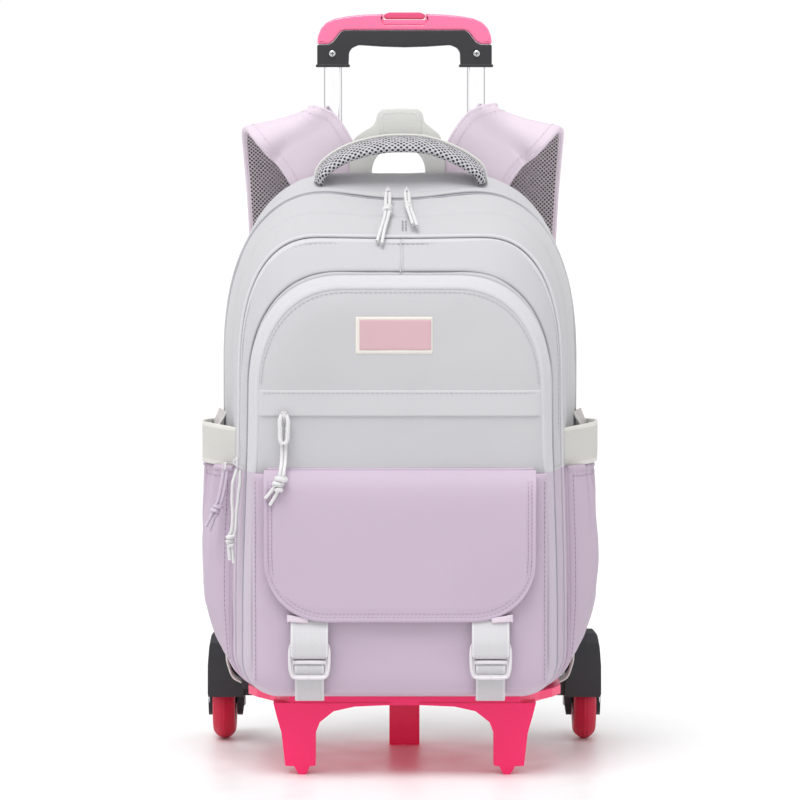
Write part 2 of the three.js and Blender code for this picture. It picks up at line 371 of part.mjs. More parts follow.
// ---------------------------------------------------------------- wheels with their black forks and mudguards
for (const [name, side] of [['left', -1], ['right', 1]]) {
  const { y, z, r, w } = WHEEL, cx = side * WHEEL.x;
  const guard = [[88.8, 43], [87.2, 58], [87, 78], [89, 92], [93.5, 100.5], [99.5, 104], [105.5, 101.5], [110.5, 93], [116.5, 84], ...arc(y, z, 42, 96, 24, 8), [169, 43], [147, 43], [144.4, 33], ...arc(y, z, 14, -10, -170, 8), [115.6, 33], [113, 43]];
  const x0 = side < 0 ? -178.2 : 145, x1 = side < 0 ? -145 : 178.2;
  const slot = side < 0 ? [-175.2, -152.2] : [152.2, 175.2];
  // seen from the front the guard leans in towards its top and the inner leg tapers
  const front = [[147.6, 20], [178.2, 20], [178.2, 33], [176.4, 36], [176.4, 41], [177.6, 46], [177.4, 72], [176.2, 88], [174.4, 98], [169, 105], [152, 105], [145, 98], [145, 40]];
  const seen = side > 0 ? front : front.map(([a, b]) => [-a, b]).reverse();
  let f = solid(plateYZ(guard, x0, x1)).intersect(solid(plateXZ(seen, 80, 190)));
  const disc = rod(38.6, slot[1] - slot[0], 40).rotateZ(Math.PI / 2).translate((slot[0] + slot[1]) / 2, y, z);
  f = f.subtract(solid(disc)).subtract(solid(box(slot[0], slot[1], 60, 200, -10, 36)));
  f = f.subtract(solid(box(slot[0], slot[1], 91.6, 200, 20, 60)));
  f = f.add(solid(rod(3, 27).rotateZ(Math.PI / 2).translate(cx, y, z)));
  const boss = side < 0 ? box(-146, -118, 93, 111.6, 44, TRAY.z0 - GAP) : box(118, 146, 93, 111.6, 44, TRAY.z0 - GAP);
  f = f.add(solid(boss));
  put(trolley, `wheel_fork_${name}`, geo(f), M.black);
  const h = w / 2, tread = [[24, -h + 0.5], [26.6, -h], [29.6, -h + 1.2], [32.3, -h + 3.6], [34.2, -h + 6.6], [35, -1.6], [35, 1.6], [34.2, h - 6.6], [32.3, h - 3.6], [29.6, h - 1.2], [26.6, h], [24, h - 0.5], [24, -h + 0.5]];
  const lathe = (p) => new THREE.LatheGeometry(p.map(([a, b]) => new THREE.Vector2(a, b)), 28).rotateZ(Math.PI / 2);
  put(trolley, `tyre_${name}`, lathe(tread).translate(cx, y, z), M.red);
  const hub = [[3.3, -h], [8, -h], [8, -h + 3], [20, -h + 3], [20, -h + 0.6], [23.7, -h + 0.6], [23.7, h - 0.6], [20, h - 0.6], [20, h - 3], [8, h - 3], [8, h], [3.3, h], [3.3, -h]];
  put(trolley, `wheel_hub_${name}`, lathe(hub).translate(cx, y, z), M.black);
}

// ---------------------------------------------------------------- telescopic tubes
for (const [name, side] of [['left', -1], ['right', 1]]) {
  const at = (g) => g.translate(side * TUBE_X, TUBE_Y, 0);
  put(trolley, `outer_tube_${name}`, at(pipe(9.9, 11, 65.2, 494)), M.alu);
  put(trolley, `mid_tube_${name}`, at(pipe(8.35, 9.5, 82, 497.5)), M.alu);
  put(trolley, `handle_rod_${name}`, at(pipe(6.8, 8, 190, 610.1)), M.alu);
}
{
  let b = solid(plateXZ([[-82, 473], [-80, 470.5], [80, 470.5], [82, 473], [82, 488], [80, 490.5], [-80, 490.5], [-82, 488]], 84.6, 111));
  for (const side of [-1, 1]) b = b.subtract(solid(rod(11.3, 60).rotateX(Math.PI / 2).translate(side * TUBE_X, TUBE_Y, 480)));
  put(trolley, 'top_bracket', geo(b), M.black);
}

// ---------------------------------------------------------------- pull handle
{
  const core = [[-78, 611.2], [-76.5, 610.4], [-51.5, 610.4], [-50, 611.2], [-49.6, 623], [-47, 627], [-41, 629.6], [-20, 628.2], [0, 627.6], [20, 628.2], [41, 629.6], [47, 627], [49.6, 623], [50, 611.2], [51.5, 610.4], [76.5, 610.4], [78, 611.2],
    [78, 629.8], [68, 629.8], [63.6, 632], [57, 640.6], [53.6, 642.4], [-53.6, 642.4], [-57, 640.6], [-63.6, 632], [-68, 629.8], [-78, 629.8]];
  put(trolley, 'grip_core', geo(solid(plateXZ(core, 86, 108, 1))), M.black);
  const top = [[-78, 630.3], [-68.2, 630.3], [-63.9, 632.6], [-57.4, 641.1], [-53.8, 642.8], [53.8, 642.8], [57.4, 641.1], [63.9, 632.6], [68.2, 630.3], [78, 630.3], [77.4, 637], [74.5, 644.4], [69.5, 649.6], [62, 653], [50, 655.2], [35.6, 656.6], [19.5, 657.2], [0, 657.4], [-19.5, 657.2], [-35.6, 656.6], [-50, 655.2], [-62, 653], [-69.5, 649.6], [-74.5, 644.4], [-77.4, 637]];
  const t = solid(plateXZ(top, 85.2, 108.8, 3)).subtract(solid(box(-19, 19, 89, 105, 648.2, 670)));
  put(trolley, 'grip_top', geo(t), M.pinkGrip);
  put(trolley, 'grip_button', plateXZ([[-18.4, 654], [-16.6, 652.8], [16.6, 652.8], [18.4, 654], [18.4, 656.6], [14, 658.6], [-14, 658.6], [-18.4, 656.6]], 89.5, 104.5, 0.6), M.pinkGrip);
  for (const [name, side] of [['left', -1], ['right', 1]]) put(trolley, `screw_${name}`, rod(2.8, 1.4, 12).translate(side * 64.4, 84.9, 621.8), M.steel);
}

export default root;
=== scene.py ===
import bpy
import math
import numpy as np
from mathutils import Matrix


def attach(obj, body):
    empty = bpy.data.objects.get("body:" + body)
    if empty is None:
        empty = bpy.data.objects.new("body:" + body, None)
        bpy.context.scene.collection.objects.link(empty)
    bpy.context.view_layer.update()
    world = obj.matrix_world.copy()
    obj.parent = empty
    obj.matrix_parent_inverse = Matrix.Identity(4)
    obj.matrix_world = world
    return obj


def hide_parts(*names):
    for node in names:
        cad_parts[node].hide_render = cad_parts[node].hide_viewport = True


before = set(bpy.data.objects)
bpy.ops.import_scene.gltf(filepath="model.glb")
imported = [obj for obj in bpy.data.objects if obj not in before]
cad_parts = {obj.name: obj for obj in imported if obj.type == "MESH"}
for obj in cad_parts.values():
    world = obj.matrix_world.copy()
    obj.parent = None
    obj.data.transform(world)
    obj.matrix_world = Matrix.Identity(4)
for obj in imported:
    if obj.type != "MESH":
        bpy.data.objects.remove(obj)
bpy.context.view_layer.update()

# Lengths below are millimetres in the part's own layout; make() turns them into the frame's metres.
BAG_X, CENTRE_Y = -4.0, -21.6
TAU = 2 * math.pi
A = lambda v: np.asarray(v, float)


# ---------------------------------------------------------------- camera
cam = bpy.data.cameras.new("camera")
cam.lens, cam.sensor_width, cam.sensor_fit = 182.885, 36.0, "HORIZONTAL"
cam.clip_start, cam.clip_end = 0.1, 100
cam_ob = bpy.data.objects.new("camera", cam)
bpy.context.scene.collection.objects.link(cam_ob)
cam_ob.location = (-0.004, -3.5751, 0.5594)
cam_ob.rotation_euler = (math.radians(90 - 3.889), 0, 0)
bpy.context.scene.camera = cam_ob


# ---------------------------------------------------------------- materials
def lin(h):
    c = [int(h[i:i + 2], 16) / 255 for i in (1, 3, 5)]
    return tuple(((x + 0.055) / 1.055) ** 2.4 if x > 0.04045 else x / 12.92 for x in c) + (1.0,)


class Mat:
    def __init__(self, name, **sockets):
        self.m = bpy.data.materials.new(name)
        self.m.use_nodes = True
        self.nt = self.m.node_tree
        self.nt.nodes.clear()
        out = self.nt.nodes.new("ShaderNodeOutputMaterial")
        self.b = self.nt.nodes.new("ShaderNodeBsdfPrincipled")
        self.nt.links.new(self.b.outputs[0], out.inputs[0])
        for k, v in sockets.items():
            self.b.inputs[k.replace("_", " ")].default_value = v

    def put(self, socket, v):
        if isinstance(v, bpy.types.NodeSocket):
            self.nt.links.new(v, socket)
        elif v is not None:
            socket.default_value = v

    def math(self, op, a, b=None, c=None, clamp=False):
        n = self.nt.nodes.new("ShaderNodeMath")
        n.operation, n.use_clamp = op, clamp
        for s, v in zip(n.inputs, (a, b, c)):
            self.put(s, v)
        return n.outputs[0]

    def xyz(self, source="obj"):
        if source == "uv":
            n = self.nt.nodes.new("ShaderNodeUVMap")
            n.uv_map = "weave"
            v = n.outputs[0]
        else:
            v = self.nt.nodes.new("ShaderNodeTexCoord").outputs["Object"]
        s = self.nt.nodes.new("ShaderNodeSeparateXYZ")
        self.put(s.inputs[0], v)
        return v, s.outputs[0], s.outputs[1], s.outputs[2]

    def noise(self, vec, scale, detail=3.0, rough=0.5, dist=0.0):
        n = self.nt.nodes.new("ShaderNodeTexNoise")
        self.put(n.inputs["Vector"], vec)
        for k, v in (("Scale", scale), ("Detail", detail), ("Roughness", rough), ("Distortion", dist)):
            n.inputs[k].default_value = v
        return n.outputs["Fac"]

    def scaled(self, vec, scale):
        n = self.nt.nodes.new("ShaderNodeMapping")
        self.put(n.inputs["Vector"], vec)
        n.inputs["Scale"].default_value = scale
        return n.outputs[0]

    def mix(self, fac, a, b):
        n = self.nt.nodes.new("ShaderNodeMix")
        n.data_type = "RGBA"
        self.put(n.inputs[0], fac)
        self.put(n.inputs[6], a)
        self.put(n.inputs[7], b)
        return n.outputs[2]

    def range(self, v, a, b, c, d, smooth=False):
        n = self.nt.nodes.new("ShaderNodeMapRange")
        if smooth:
            n.interpolation_type = "SMOOTHSTEP"
        for s, x in zip(n.inputs, (v, a, b, c, d)):
            self.put(s, x)
        return n.outputs[0]

    def bump(self, height, dist, strength=1.0, normal=None):
        n = self.nt.nodes.new("ShaderNodeBump")
        n.inputs["Strength"].default_value = strength
        n.inputs["Distance"].default_value = dist
        self.put(n.inputs["Height"], height)
        if normal is not None:
            self.put(n.inputs["Normal"], normal)
        return n.outputs[0]

    def weave(self, u, v, pitch):
        """Plain weave: over and under threads of the given pitch, in the units of u and v."""
        a = self.math("SINE", self.math("MULTIPLY", u, TAU / pitch))
        b = self.math("SINE", self.math("MULTIPLY", v, TAU / pitch))
        ab = self.math("MULTIPLY", a, b)
        return self.math("MULTIPLY_ADD", ab, 0.5, 0.5)


def shade(hexa, f):
    r = lin(hexa)
    return (min(1, r[0] * f), min(1, r[1] * f), min(1, r[2] * f), 1.0)


def cloth(name, color, below=None, split=262.5, pitch=0.9, relief=0.00006, rough=0.82, sheen=0.18, var=0.05, source="uv"):
    m = Mat(name)
    ov, ox, oy, oz = m.xyz("obj")
    if source == "uv":
        uv, u, v, w = m.xyz("uv")
        wv = m.weave(u, v, pitch)
    else:
        wv = m.weave(m.math("MULTIPLY", m.math("ADD", ox, oy), 1000), m.math("MULTIPLY", oz, 1000), pitch)
    big = m.noise(ov, 9.0, 2.0)
    fine = m.noise(ov, 900.0, 2.0)
    slub = m.noise(m.scaled(ov, (60, 60, 900)), 1.0, 2.0)
    def tone(c):
        t = m.mix(big, shade(c, 1 - var), shade(c, 1 + var * 0.6))
        t = m.mix(m.math("MULTIPLY", wv, 0.35), t, shade(c, 0.9))
        return m.mix(m.range(slub, 0.35, 0.75, 0.0, 0.16), t, shade(c, 0.93))
    col = tone(color)
    if below is not None:
        f = m.range(oz, (split - 0.35) / 1000, (split + 0.35) / 1000, 0.0, 1.0)
        col = m.mix(f, tone(below), col)
    m.put(m.b.inputs["Base Color"], col)
    m.put(m.b.inputs["Roughness"], m.range(fine, 0.3, 0.7, rough - 0.07, min(1, rough + 0.07)))
    h = m.math("MULTIPLY_ADD", fine, 0.7, wv)
    soft = m.bump(m.noise(ov, 26.0, 3.0, 0.55), 0.0011, 0.35)
    m.put(m.b.inputs["Normal"], m.bump(h, relief, 0.9, soft))
    m.b.inputs["Sheen Weight"].default_value = sheen
    m.b.inputs["Sheen Roughness"].default_value = 0.5
    m.b.inputs["Specular IOR Level"].default_value = 0.28
    return m.m


def webbing(name, color, edge=None, half=10.0, rib=1.5, rough=0.75):
    """Woven tape: ribs across, a chevron of the threads along, selvedges at |u| near half."""
    m = Mat(name)
    uv, u, v, w = m.xyz("uv")
    ov = m.xyz("obj")[0]
    au = m.math("ABSOLUTE", u)
    ribs = m.math("MULTIPLY_ADD", m.math("SINE", m.math("MULTIPLY", v, TAU / rib)), 0.5, 0.5)
    cols = m.math("MULTIPLY_ADD", m.math("SINE", m.math("MULTIPLY", u, TAU / 1.9)), 0.5, 0.5)
    thread = m.math("MULTIPLY", ribs, cols)
    big = m.noise(ov, 30.0, 2.0)
    col = m.mix(big, shade(color, 0.94), shade(color, 1.03))
    # painted shade: the tape is darker where the weave is low, in the hollows between ribs and threads
    col = m.mix(m.math("MULTIPLY", m.math("SUBTRACT", 1.0, thread), 0.22), col, shade(color, 0.72))
    if edge is not None:
        f = m.range(au, half - 2.2, half - 1.5, 0.0, 1.0)
        col = m.mix(f, col, lin(edge))
    m.put(m.b.inputs["Base Color"], col)
    m.put(m.b.inputs["Roughness"], m.range(m.noise(ov, 700.0, 2.0), 0.3, 0.7, rough - 0.08, rough + 0.08))
    groove = m.range(au, half - 2.7, half - 2.1, 0.0, 1.0)
    h = m.math("ADD", m.math("MULTIPLY", thread, 0.7), m.math("MULTIPLY", m.math("ABSOLUTE", m.math("SUBTRACT", groove, 0.5)), 0.5))
    m.put(m.b.inputs["Normal"], m.bump(h, 0.00022, 0.85))
    m.b.inputs["Sheen Weight"].default_value = 0.12
    m.b.inputs["Specular IOR Level"].default_value = 0.3
    return m.m


def spacer(name, light="#CFCED3", dark="#2C2B31", pitch=3.7):
    """Open spacer mesh: a diagonal lattice of holes between knitted bars."""
    m = Mat(name)
    uv, u, v, w = m.xyz("uv")
    ov = m.xyz("obj")[0]
    k = 1 / (pitch * math.sqrt(2))
    a = m.math("MULTIPLY", m.math("ADD", u, v), k)
    b = m.math("MULTIPLY", m.math("SUBTRACT", u, v), k)
    fa = m.math("SUBTRACT", a, m.math("ROUND", a))
    fb = m.math("SUBTRACT", b, m.math("ROUND", b))
    d = m.math("SQRT", m.math("ADD", m.math("MULTIPLY", fa, fa), m.math("MULTIPLY", fb, fb)))
    hole = m.range(d, 0.27, 0.39, 1.0, 0.0, True)
    rib = m.math("MULTIPLY_ADD", m.math("SINE", m.math("MULTIPLY", u, TAU / 0.62)), 0.5, 0.5)
    col = m.mix(m.noise(ov, 500.0, 2.0), shade(light, 0.82), shade(light, 1.08))
    col = m.mix(m.math("MULTIPLY", rib, 0.25), col, shade(light, 0.7))
    # painted shade: the open holes are coloured dark, standing in for the shade inside the mesh's cells
    col = m.mix(hole, col, lin(dark))
    m.put(m.b.inputs["Base Color"], col)
    m.put(m.b.inputs["Roughness"], m.range(rib, 0.0, 1.0, 0.68, 0.86))
    h = m.math("MULTIPLY_ADD", rib, 0.12, m.math("MULTIPLY", hole, -1.0))
    m.put(m.b.inputs["Normal"], m.bump(h, 0.0006, 0.8))
    m.b.inputs["Sheen Weight"].default_value = 0.1
    m.b.inputs["Specular IOR Level"].default_value = 0.3
    return m.m


def plastic(name, color, rough=0.4, grain=0.25, coat=0.0, spec=0.5, var=0.05, wear=0.12):
    m = Mat(name)
    ov = m.xyz("obj")[0]
    big = m.noise(ov, 18.0, 3.0)
    fine = m.noise(ov, 1500.0, 2.0)
    scuff = m.noise(ov, 140.0, 5.0, 0.65, 0.4)
    col = m.mix(big, shade(color, 1 - var), shade(color, 1 + var))
    col = m.mix(m.range(scuff, 0.62, 0.78, 0.0, wear), col, shade(color, 1.35))
    m.put(m.b.inputs["Base Color"], col)
    m.put(m.b.inputs["Roughness"], m.range(scuff, 0.3, 0.75, max(0.05, rough - 0.4 * wear), rough + 0.6 * wear))
    h = m.math("MULTIPLY_ADD", m.noise(ov, 60.0, 2.0), 0.6, m.math("MULTIPLY", fine, grain))
    m.put(m.b.inputs["Normal"], m.bump(h, 0.00012, 0.5))
    m.b.inputs["Coat Weight"].default_value = coat
    m.b.inputs["Coat Roughness"].default_value = 0.12
    m.b.inputs["Specular IOR Level"].default_value = spec
    return m.m


def metal(name, color, rough=0.25, tint=0.25, brushed=True):
    m = Mat(name)
    ov = m.xyz("obj")[0]
    streak = m.noise(m.scaled(ov, (900, 900, 3) if brushed else (500, 500, 500)), 1.0, 2.0)
    spot = m.noise(ov, 220.0, 4.0, 0.6)
    m.put(m.b.inputs["Base Color"], m.mix(streak, shade(color, 0.97), shade(color, 1.02)))
    m.b.inputs["Metallic"].default_value = 1.0
    r = m.range(streak, 0.25, 0.75, rough - 0.02, rough + 0.03)
    m.put(m.b.inputs["Roughness"], m.math("ADD", r, m.range(spot, 0.55, 0.8, 0.0, 0.03)))
    m.b.inputs["Specular Tint"].default_value = (tint, tint, tint * 1.03, 1)
    m.put(m.b.inputs["Normal"], m.bump(streak, 0.000003, 0.3))
    return m.m


def thread(name, color):
    m = Mat(name)
    ov, x, y, z = m.xyz("obj")
    tw = m.noise(m.scaled(ov, (900, 900, 900)), 1.0, 3.0)
    m.put(m.b.inputs["Base Color"], m.mix(tw, shade(color, 0.86), shade(color, 1.08)))
    m.put(m.b.inputs["Roughness"], m.range(tw, 0.3, 0.7, 0.55, 0.75))
    m.put(m.b.inputs["Normal"], m.bump(tw, 0.0001, 0.6))
    m.b.inputs["Sheen Weight"].default_value = 0.1
    return m.m


def braid(name, color):
    m = Mat(name)
    uv, u, v, w = m.xyz("uv")
    ov = m.xyz("obj")[0]
    a = m.math("SINE", m.math("MULTIPLY", m.math("ADD", u, v), TAU / 1.1))
    b = m.math("SINE", m.math("MULTIPLY", m.math("SUBTRACT", u, v), TAU / 1.1))
    h = m.math("MAXIMUM", a, b)
    n = m.noise(ov, 800.0, 2.0)
    # painted shade: the cord is darker where the braid's strands dip, from the same height that drives the bump
    col = m.mix(m.range(h, -0.6, 1.0, 0.0, 1.0), shade(color, 0.78), shade(color, 1.02))
    m.put(m.b.inputs["Base Color"], m.mix(m.math("MULTIPLY", n, 0.3), col, shade(color, 0.9)))
    m.put(m.b.inputs["Roughness"], m.range(n, 0.3, 0.7, 0.6, 0.78))
    m.put(m.b.inputs["Normal"], m.bump(h, 0.00012, 0.8))
    m.b.inputs["Sheen Weight"].default_value = 0.15
    return m.m


GREY, LAV = "#C8C8CB", "#C6B5C7"
M = {
    "body": cloth("cloth_body", GREY, LAV),
    "band": cloth("cloth_band", "#D3D2D6", "#CBBFCE"),
    "gusset": cloth("cloth_gusset", "#C6C6CA", "#C4B4C6"),
    "lav": cloth("cloth_lavender", LAV),
    "lav_strap": cloth("cloth_strap", "#E4D5E2", pitch=1.0),
    "lining": cloth("cloth_lining", "#B9B3BE"),
    "grey": cloth("cloth_grey", "#CDCDD0"),
    "piping": cloth("cloth_piping", "#D8D7DB", "#CCC0CF", pitch=0.8),
    "ivory": webbing("web_ivory", "#D5D4CF", "#DEDDD8", 16.0, 1.6),
    "ivory20": webbing("web_ivory_20", "#D2CDCB", "#E0DEDA", 10.0, 1.4),
    "web_front": webbing("web_front", "#D2D1D4", "#DAD8DC", 16.0, 1.6),
    "web_base": webbing("web_base", "#CBCACD", "#D3D1D5", 12.5, 1.5),
    "loop": cloth("web_loop", "#E0E0DC", pitch=1.3, relief=0.00012),
    "mesh": spacer("spacer_mesh"),
    "mesh_dark": spacer("spacer_mesh_strap", "#CFC5CB", "#3C363C", 2.7),
    "pale": plastic("plastic_pale", "#DEDBDF", 0.36, 0.15, 0.15, wear=0.05),
    "black": plastic("plastic_black", "#29292D", 0.46, 0.5, 0.0, 0.45, 0.08),
    "base": plastic("plastic_base_pink", "#FF0868", 0.34, 0.1, 0.1, 0.5, 0.02, wear=0.04),
    "grip": plastic("plastic_grip_pink", "#FF75A3", 0.22, 0.1, 0.5, 0.5, 0.02, wear=0.04),
    "button": plastic("plastic_button_pink", "#E2527F", 0.34, 0.12, 0.2, 0.5, 0.03, wear=0.04),
    "red": plastic("rubber_red", "#C8103A", 0.5, 0.6, 0.0, 0.4, 0.07),
    "alu": metal("metal_alu", "#FAFAFC", 0.13, 0.12),
    "steel": metal("metal_steel", "#C9CACC", 0.28, 0.5, False),
    "cord": braid("cord_white", "#F0EFF0"),
    "cord_lav": braid("cord_lilac", "#DCCEDF"),
    "label": cloth("label_pink", "#D9B4BC", pitch=0.7, relief=0.0001, sheen=0.3),
    "label_edge": cloth("label_ivory", "#EFEAE2", pitch=0.7, relief=0.0001),
    "thread": thread("thread_grey", "#BFBEC3"),
    "thread_lav": thread("thread_lilac", "#AA97AF"),
    "thread_white": thread("thread_white", "#F2F0F2"),
    "zip": plastic("zip_teeth", "#A7A5AC", 0.45, 0.2),
    # painted shade for the screw slots
    "dark": plastic("painted_slot_shade", "#3A393E", 0.7, 0.3),
}


# ---------------------------------------------------------------- mesh helpers
def make(name, P, F, mats, body="frame", bag=True, uv=None, fm=None, slot=None, rep=(), sharp=None, flip=None):
    P = A(P).reshape(-1, 3).copy()
    if bag:
        P[:, 0] += BAG_X
    P[:, 1] += CENTRE_Y
    P *= 0.001
    me = bpy.data.meshes.new(name)
    me.from_pydata(P.tolist(), [], F if isinstance(F, list) else F.tolist())
    for m in (mats if isinstance(mats, (list, tuple)) else [mats]):
        me.materials.append(M[m])
    n = len(me.polygons)
    if fm is not None:
        me.polygons.foreach_set("material_index", np.asarray(fm, np.int32))
    me.polygons.foreach_set("use_smooth", np.ones(n, bool))
    lv = np.empty(len(me.loops), np.int32)
    me.loops.foreach_get("vertex_index", lv)
    if uv is not None:
        layer = me.uv_layers.new(name="weave")
        layer.uv.foreach_set("vector", np.ascontiguousarray(A(uv).reshape(-1, 2)[lv], np.float32).ravel())
    if flip is None:
        c = P - P.mean(0)
        me.calc_loop_triangles()
        t = np.empty(len(me.loop_triangles) * 3, np.int32)
        me.loop_triangles.foreach_get("vertices", t)
        a, b, d = (c[t[k::3]] for k in range(3))
        flip = (a * np.cross(b, d)).sum() < 0
    if flip:
        me.flip_normals()
    if sharp:
        me.set_sharp_from_angle(angle=math.radians(sharp))
    me.update()
    ob = bpy.data.objects.new(name, me)
    bpy.context.scene.collection.objects.link(ob)
    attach(ob, body)
    if rep:
        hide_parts(*rep)
    return ob


def quads(m, n, wi=False, wj=False, base=0):
    i, j = np.meshgrid(np.arange(m if wi else m - 1), np.arange(n if wj else n - 1), indexing="ij")
    i2, j2 = (i + 1) % m, (j + 1) % n
    return base + np.stack([i * n + j, i2 * n + j, i2 * n + j2, i * n + j2], -1).reshape(-1, 4)


def unit(v):
    return v / np.maximum(np.linalg.norm(v, axis=-1, keepdims=True), 1e-12)


def normals(P, wi=False, wj=False):
    def diff(X, ax, wrap):
        if wrap:
            return np.roll(X, -1, ax) - np.roll(X, 1, ax)
        return np.gradient(X, axis=ax)
    return unit(np.cross(diff(P, 0, wi), diff(P, 1, wj)))


def waves(seed, count, lo, hi):
    """A smooth random field of points, about -1..1, with wavelengths from lo to hi mm."""
    r = np.random.default_rng(seed)
    k = unit(r.normal(size=(count, 3)))
    L, ph = r.uniform(lo, hi, count), r.uniform(0, TAU, count)
    def f(P):
        S = np.asarray(P)
        return np.sin(np.tensordot(S, (k / L[:, None] * TAU).T, 1) + ph).sum(-1) / math.sqrt(count)
    return f


def smooth(a, b, v):
    t = np.clip((np.asarray(v, float) - a) / (b - a), 0, 1)
    return t * t * (3 - 2 * t)


def gauss(v, c, w):
    return np.exp(-((np.asarray(v, float) - c) / w) ** 2)


def catmull(pts, t):
    pts, t = A(pts), np.atleast_1d(A(t))
    n = len(pts)
    p = (n - 1) * t
    i = np.clip(np.floor(p).astype(int), 0, n - 2)
    w = (p - i)[:, None]
    ext = np.vstack([2 * pts[0] - pts[1], pts, 2 * pts[-1] - pts[-2]])
    p0, p1, p2, p3 = ext[i], ext[i + 1], ext[i + 2], ext[i + 3]
    d = lambda a, b: np.maximum(((a - b) ** 2).sum(1), 0) ** 0.25
    d0, d1, d2 = d(p0, p1), d(p1, p2), d(p2, p3)
    d1 = np.where(d1 < 1e-4, 1.0, d1)
    d0 = np.where(d0 < 1e-4, d1, d0)[:, None]
    d2 = np.where(d2 < 1e-4, d1, d2)[:, None]
    d1 = d1[:, None]
    t1 = ((p1 - p0) / d0 - (p2 - p0) / (d0 + d1) + (p2 - p1) / d1) * d1
    t2 = ((p2 - p1) / d1 - (p3 - p1) / (d1 + d2) + (p3 - p2) / d2) * d1
    return p1 + t1 * w + (-3 * p1 + 3 * p2 - 2 * t1 - t2) * w ** 2 + (2 * p1 - 2 * p2 + t1 + t2) * w ** 3


def spaced(pts, step=None, count=None, closed=False):
    """Points at even spacing along a polyline."""
    P = A(pts)
    if closed:
        P = np.vstack([P, P[:1]])
    s = np.concatenate([[0], np.cumsum(np.linalg.norm(np.diff(P, axis=0), axis=1))])
    n = count or max(2, int(round(s[-1] / step)) + 1)
    q = np.linspace(0, s[-1], n, endpoint=not closed)
    return np.stack([np.interp(q, s, P[:, k]) for k in range(P.shape[1])], 1), q


def frames_of(rows, K):
    """Even stations along a strap's rows (x, y, z, wx, wy, wz): centre, width direction, face direction, distance."""
    R = A(rows)
    t = np.linspace(0, 1, 900)
    C, W = catmull(R[:, :3], t), catmull(R[:, 3:], t)
    s = np.concatenate([[0], np.cumsum(np.linalg.norm(np.diff(C, axis=0), axis=1))])
    q = np.linspace(0, s[-1], K)
    C = np.stack([np.interp(q, s, C[:, k]) for k in range(3)], 1)
    W = np.stack([np.interp(q, s, W[:, k]) for k in range(3)], 1)
    tt = np.interp(q, s, t)
    T = unit(np.gradient(C, axis=0))
    W = unit(W - (W * T).sum(1, keepdims=True) * T)
    return C, W, unit(np.cross(T, W)), q, tt


def ribbon(name, rows, width, thick, mats, step=2.0, nf=9, crown=0.0, edge=3, lift=None, lean=None, **kw):
    """A flat strap or padded strip with rounded edges along rows."""
    length = np.linalg.norm(np.diff(catmull(A(rows)[:, :3], np.linspace(0, 1, 200)), axis=0), axis=1).sum()
    K = max(6, int(length / step) + 1)
    C, W, N, q, tt = frames_of(rows, K)
    if lean is not None:
        C = C + W * A([lean(t) for t in tt])[:, None]
    rings, uvs = [], []
    for i in range(K):
        wd = width(tt[i]) if callable(width) else width
        th = thick(tt[i]) if callable(thick) else thick
        r = th / 2 * 0.98
        f = np.linspace(-1, 1, nf) * (wd / 2 - r)
        cr = crown(tt[i]) if callable(crown) else crown
        up = th / 2 + cr * (1 - (np.linspace(-1, 1, nf)) ** 2)
        ang = np.linspace(90, -90, edge + 2)[1:-1] * math.pi / 180
        a = np.concatenate([f, wd / 2 - r + r * np.cos(ang), f[::-1], -(wd / 2 - r) - r * np.cos(ang)])
        b = np.concatenate([up, r * np.sin(ang), -up[::-1], -r * np.sin(ang)])
        o = 0 if lift is None else lift(q[i], a)
        rings.append(C[i] + a[:, None] * W[i] + (b + o)[:, None] * N[i])
        uvs.append(np.stack([a, np.full_like(a, q[i])], 1))
    n = len(rings[0])
    V = np.vstack(rings + [C[:1], C[-1:]])
    U = np.vstack(uvs + [[[0, q[0]]], [[0, q[-1]]]])
    F = quads(K, n, wj=True).tolist()
    c0, c1 = K * n, K * n + 1
    F += [[c0, j, (j + 1) % n] for j in range(n)]
    F += [[c1, (K - 1) * n + (j + 1) % n, (K - 1) * n + j] for j in range(n)]
    return make(name, V, F, mats, uv=U, **kw)


def tube_grid(path, r, k=10, squash=1.0, up=(0, 0, 1), closed=False):
    P = A(path)
    T = unit(np.roll(P, -1, 0) - np.roll(P, 1, 0)) if closed else unit(np.gradient(P, axis=0))
    X = np.empty_like(P)
    x = np.cross(T[0], A(up))
    if np.linalg.norm(x) < 1e-3:
        x = np.cross(T[0], (1, 0.2, 0))
    for i in range(len(P)):
        x = x - (x @ T[i]) * T[i]
        x = x / max(np.linalg.norm(x), 1e-9)
        X[i] = x
    Y = np.cross(T, X)
    R = np.broadcast_to(np.atleast_1d(A(r)), (len(P),))
    a = np.linspace(0, TAU, k, endpoint=False)
    V = P[:, None] + R[:, None, None] * (np.cos(a)[None, :, None] * X[:, None] + squash * np.sin(a)[None, :, None] * Y[:, None])
    s = np.concatenate([[0], np.cumsum(np.linalg.norm(np.diff(P, axis=0), axis=1))])
    U = np.stack(np.broadcast_arrays((a * R.mean())[None, :], s[:, None]), -1)
    return V, U


def tube(name, path, r, mats, k=10, squash=1.0, up=(0, 0, 1), closed=False, **kw):
    V, U = tube_grid(path, r, k, squash, up, closed)
    m = len(V)
    F = quads(m, k, wi=closed, wj=True).tolist()
    if not closed:
        F += [list(range(k))[::-1], [(m - 1) * k + j for j in range(k)]]
    return make(name, V, F, mats, uv=U, **kw)


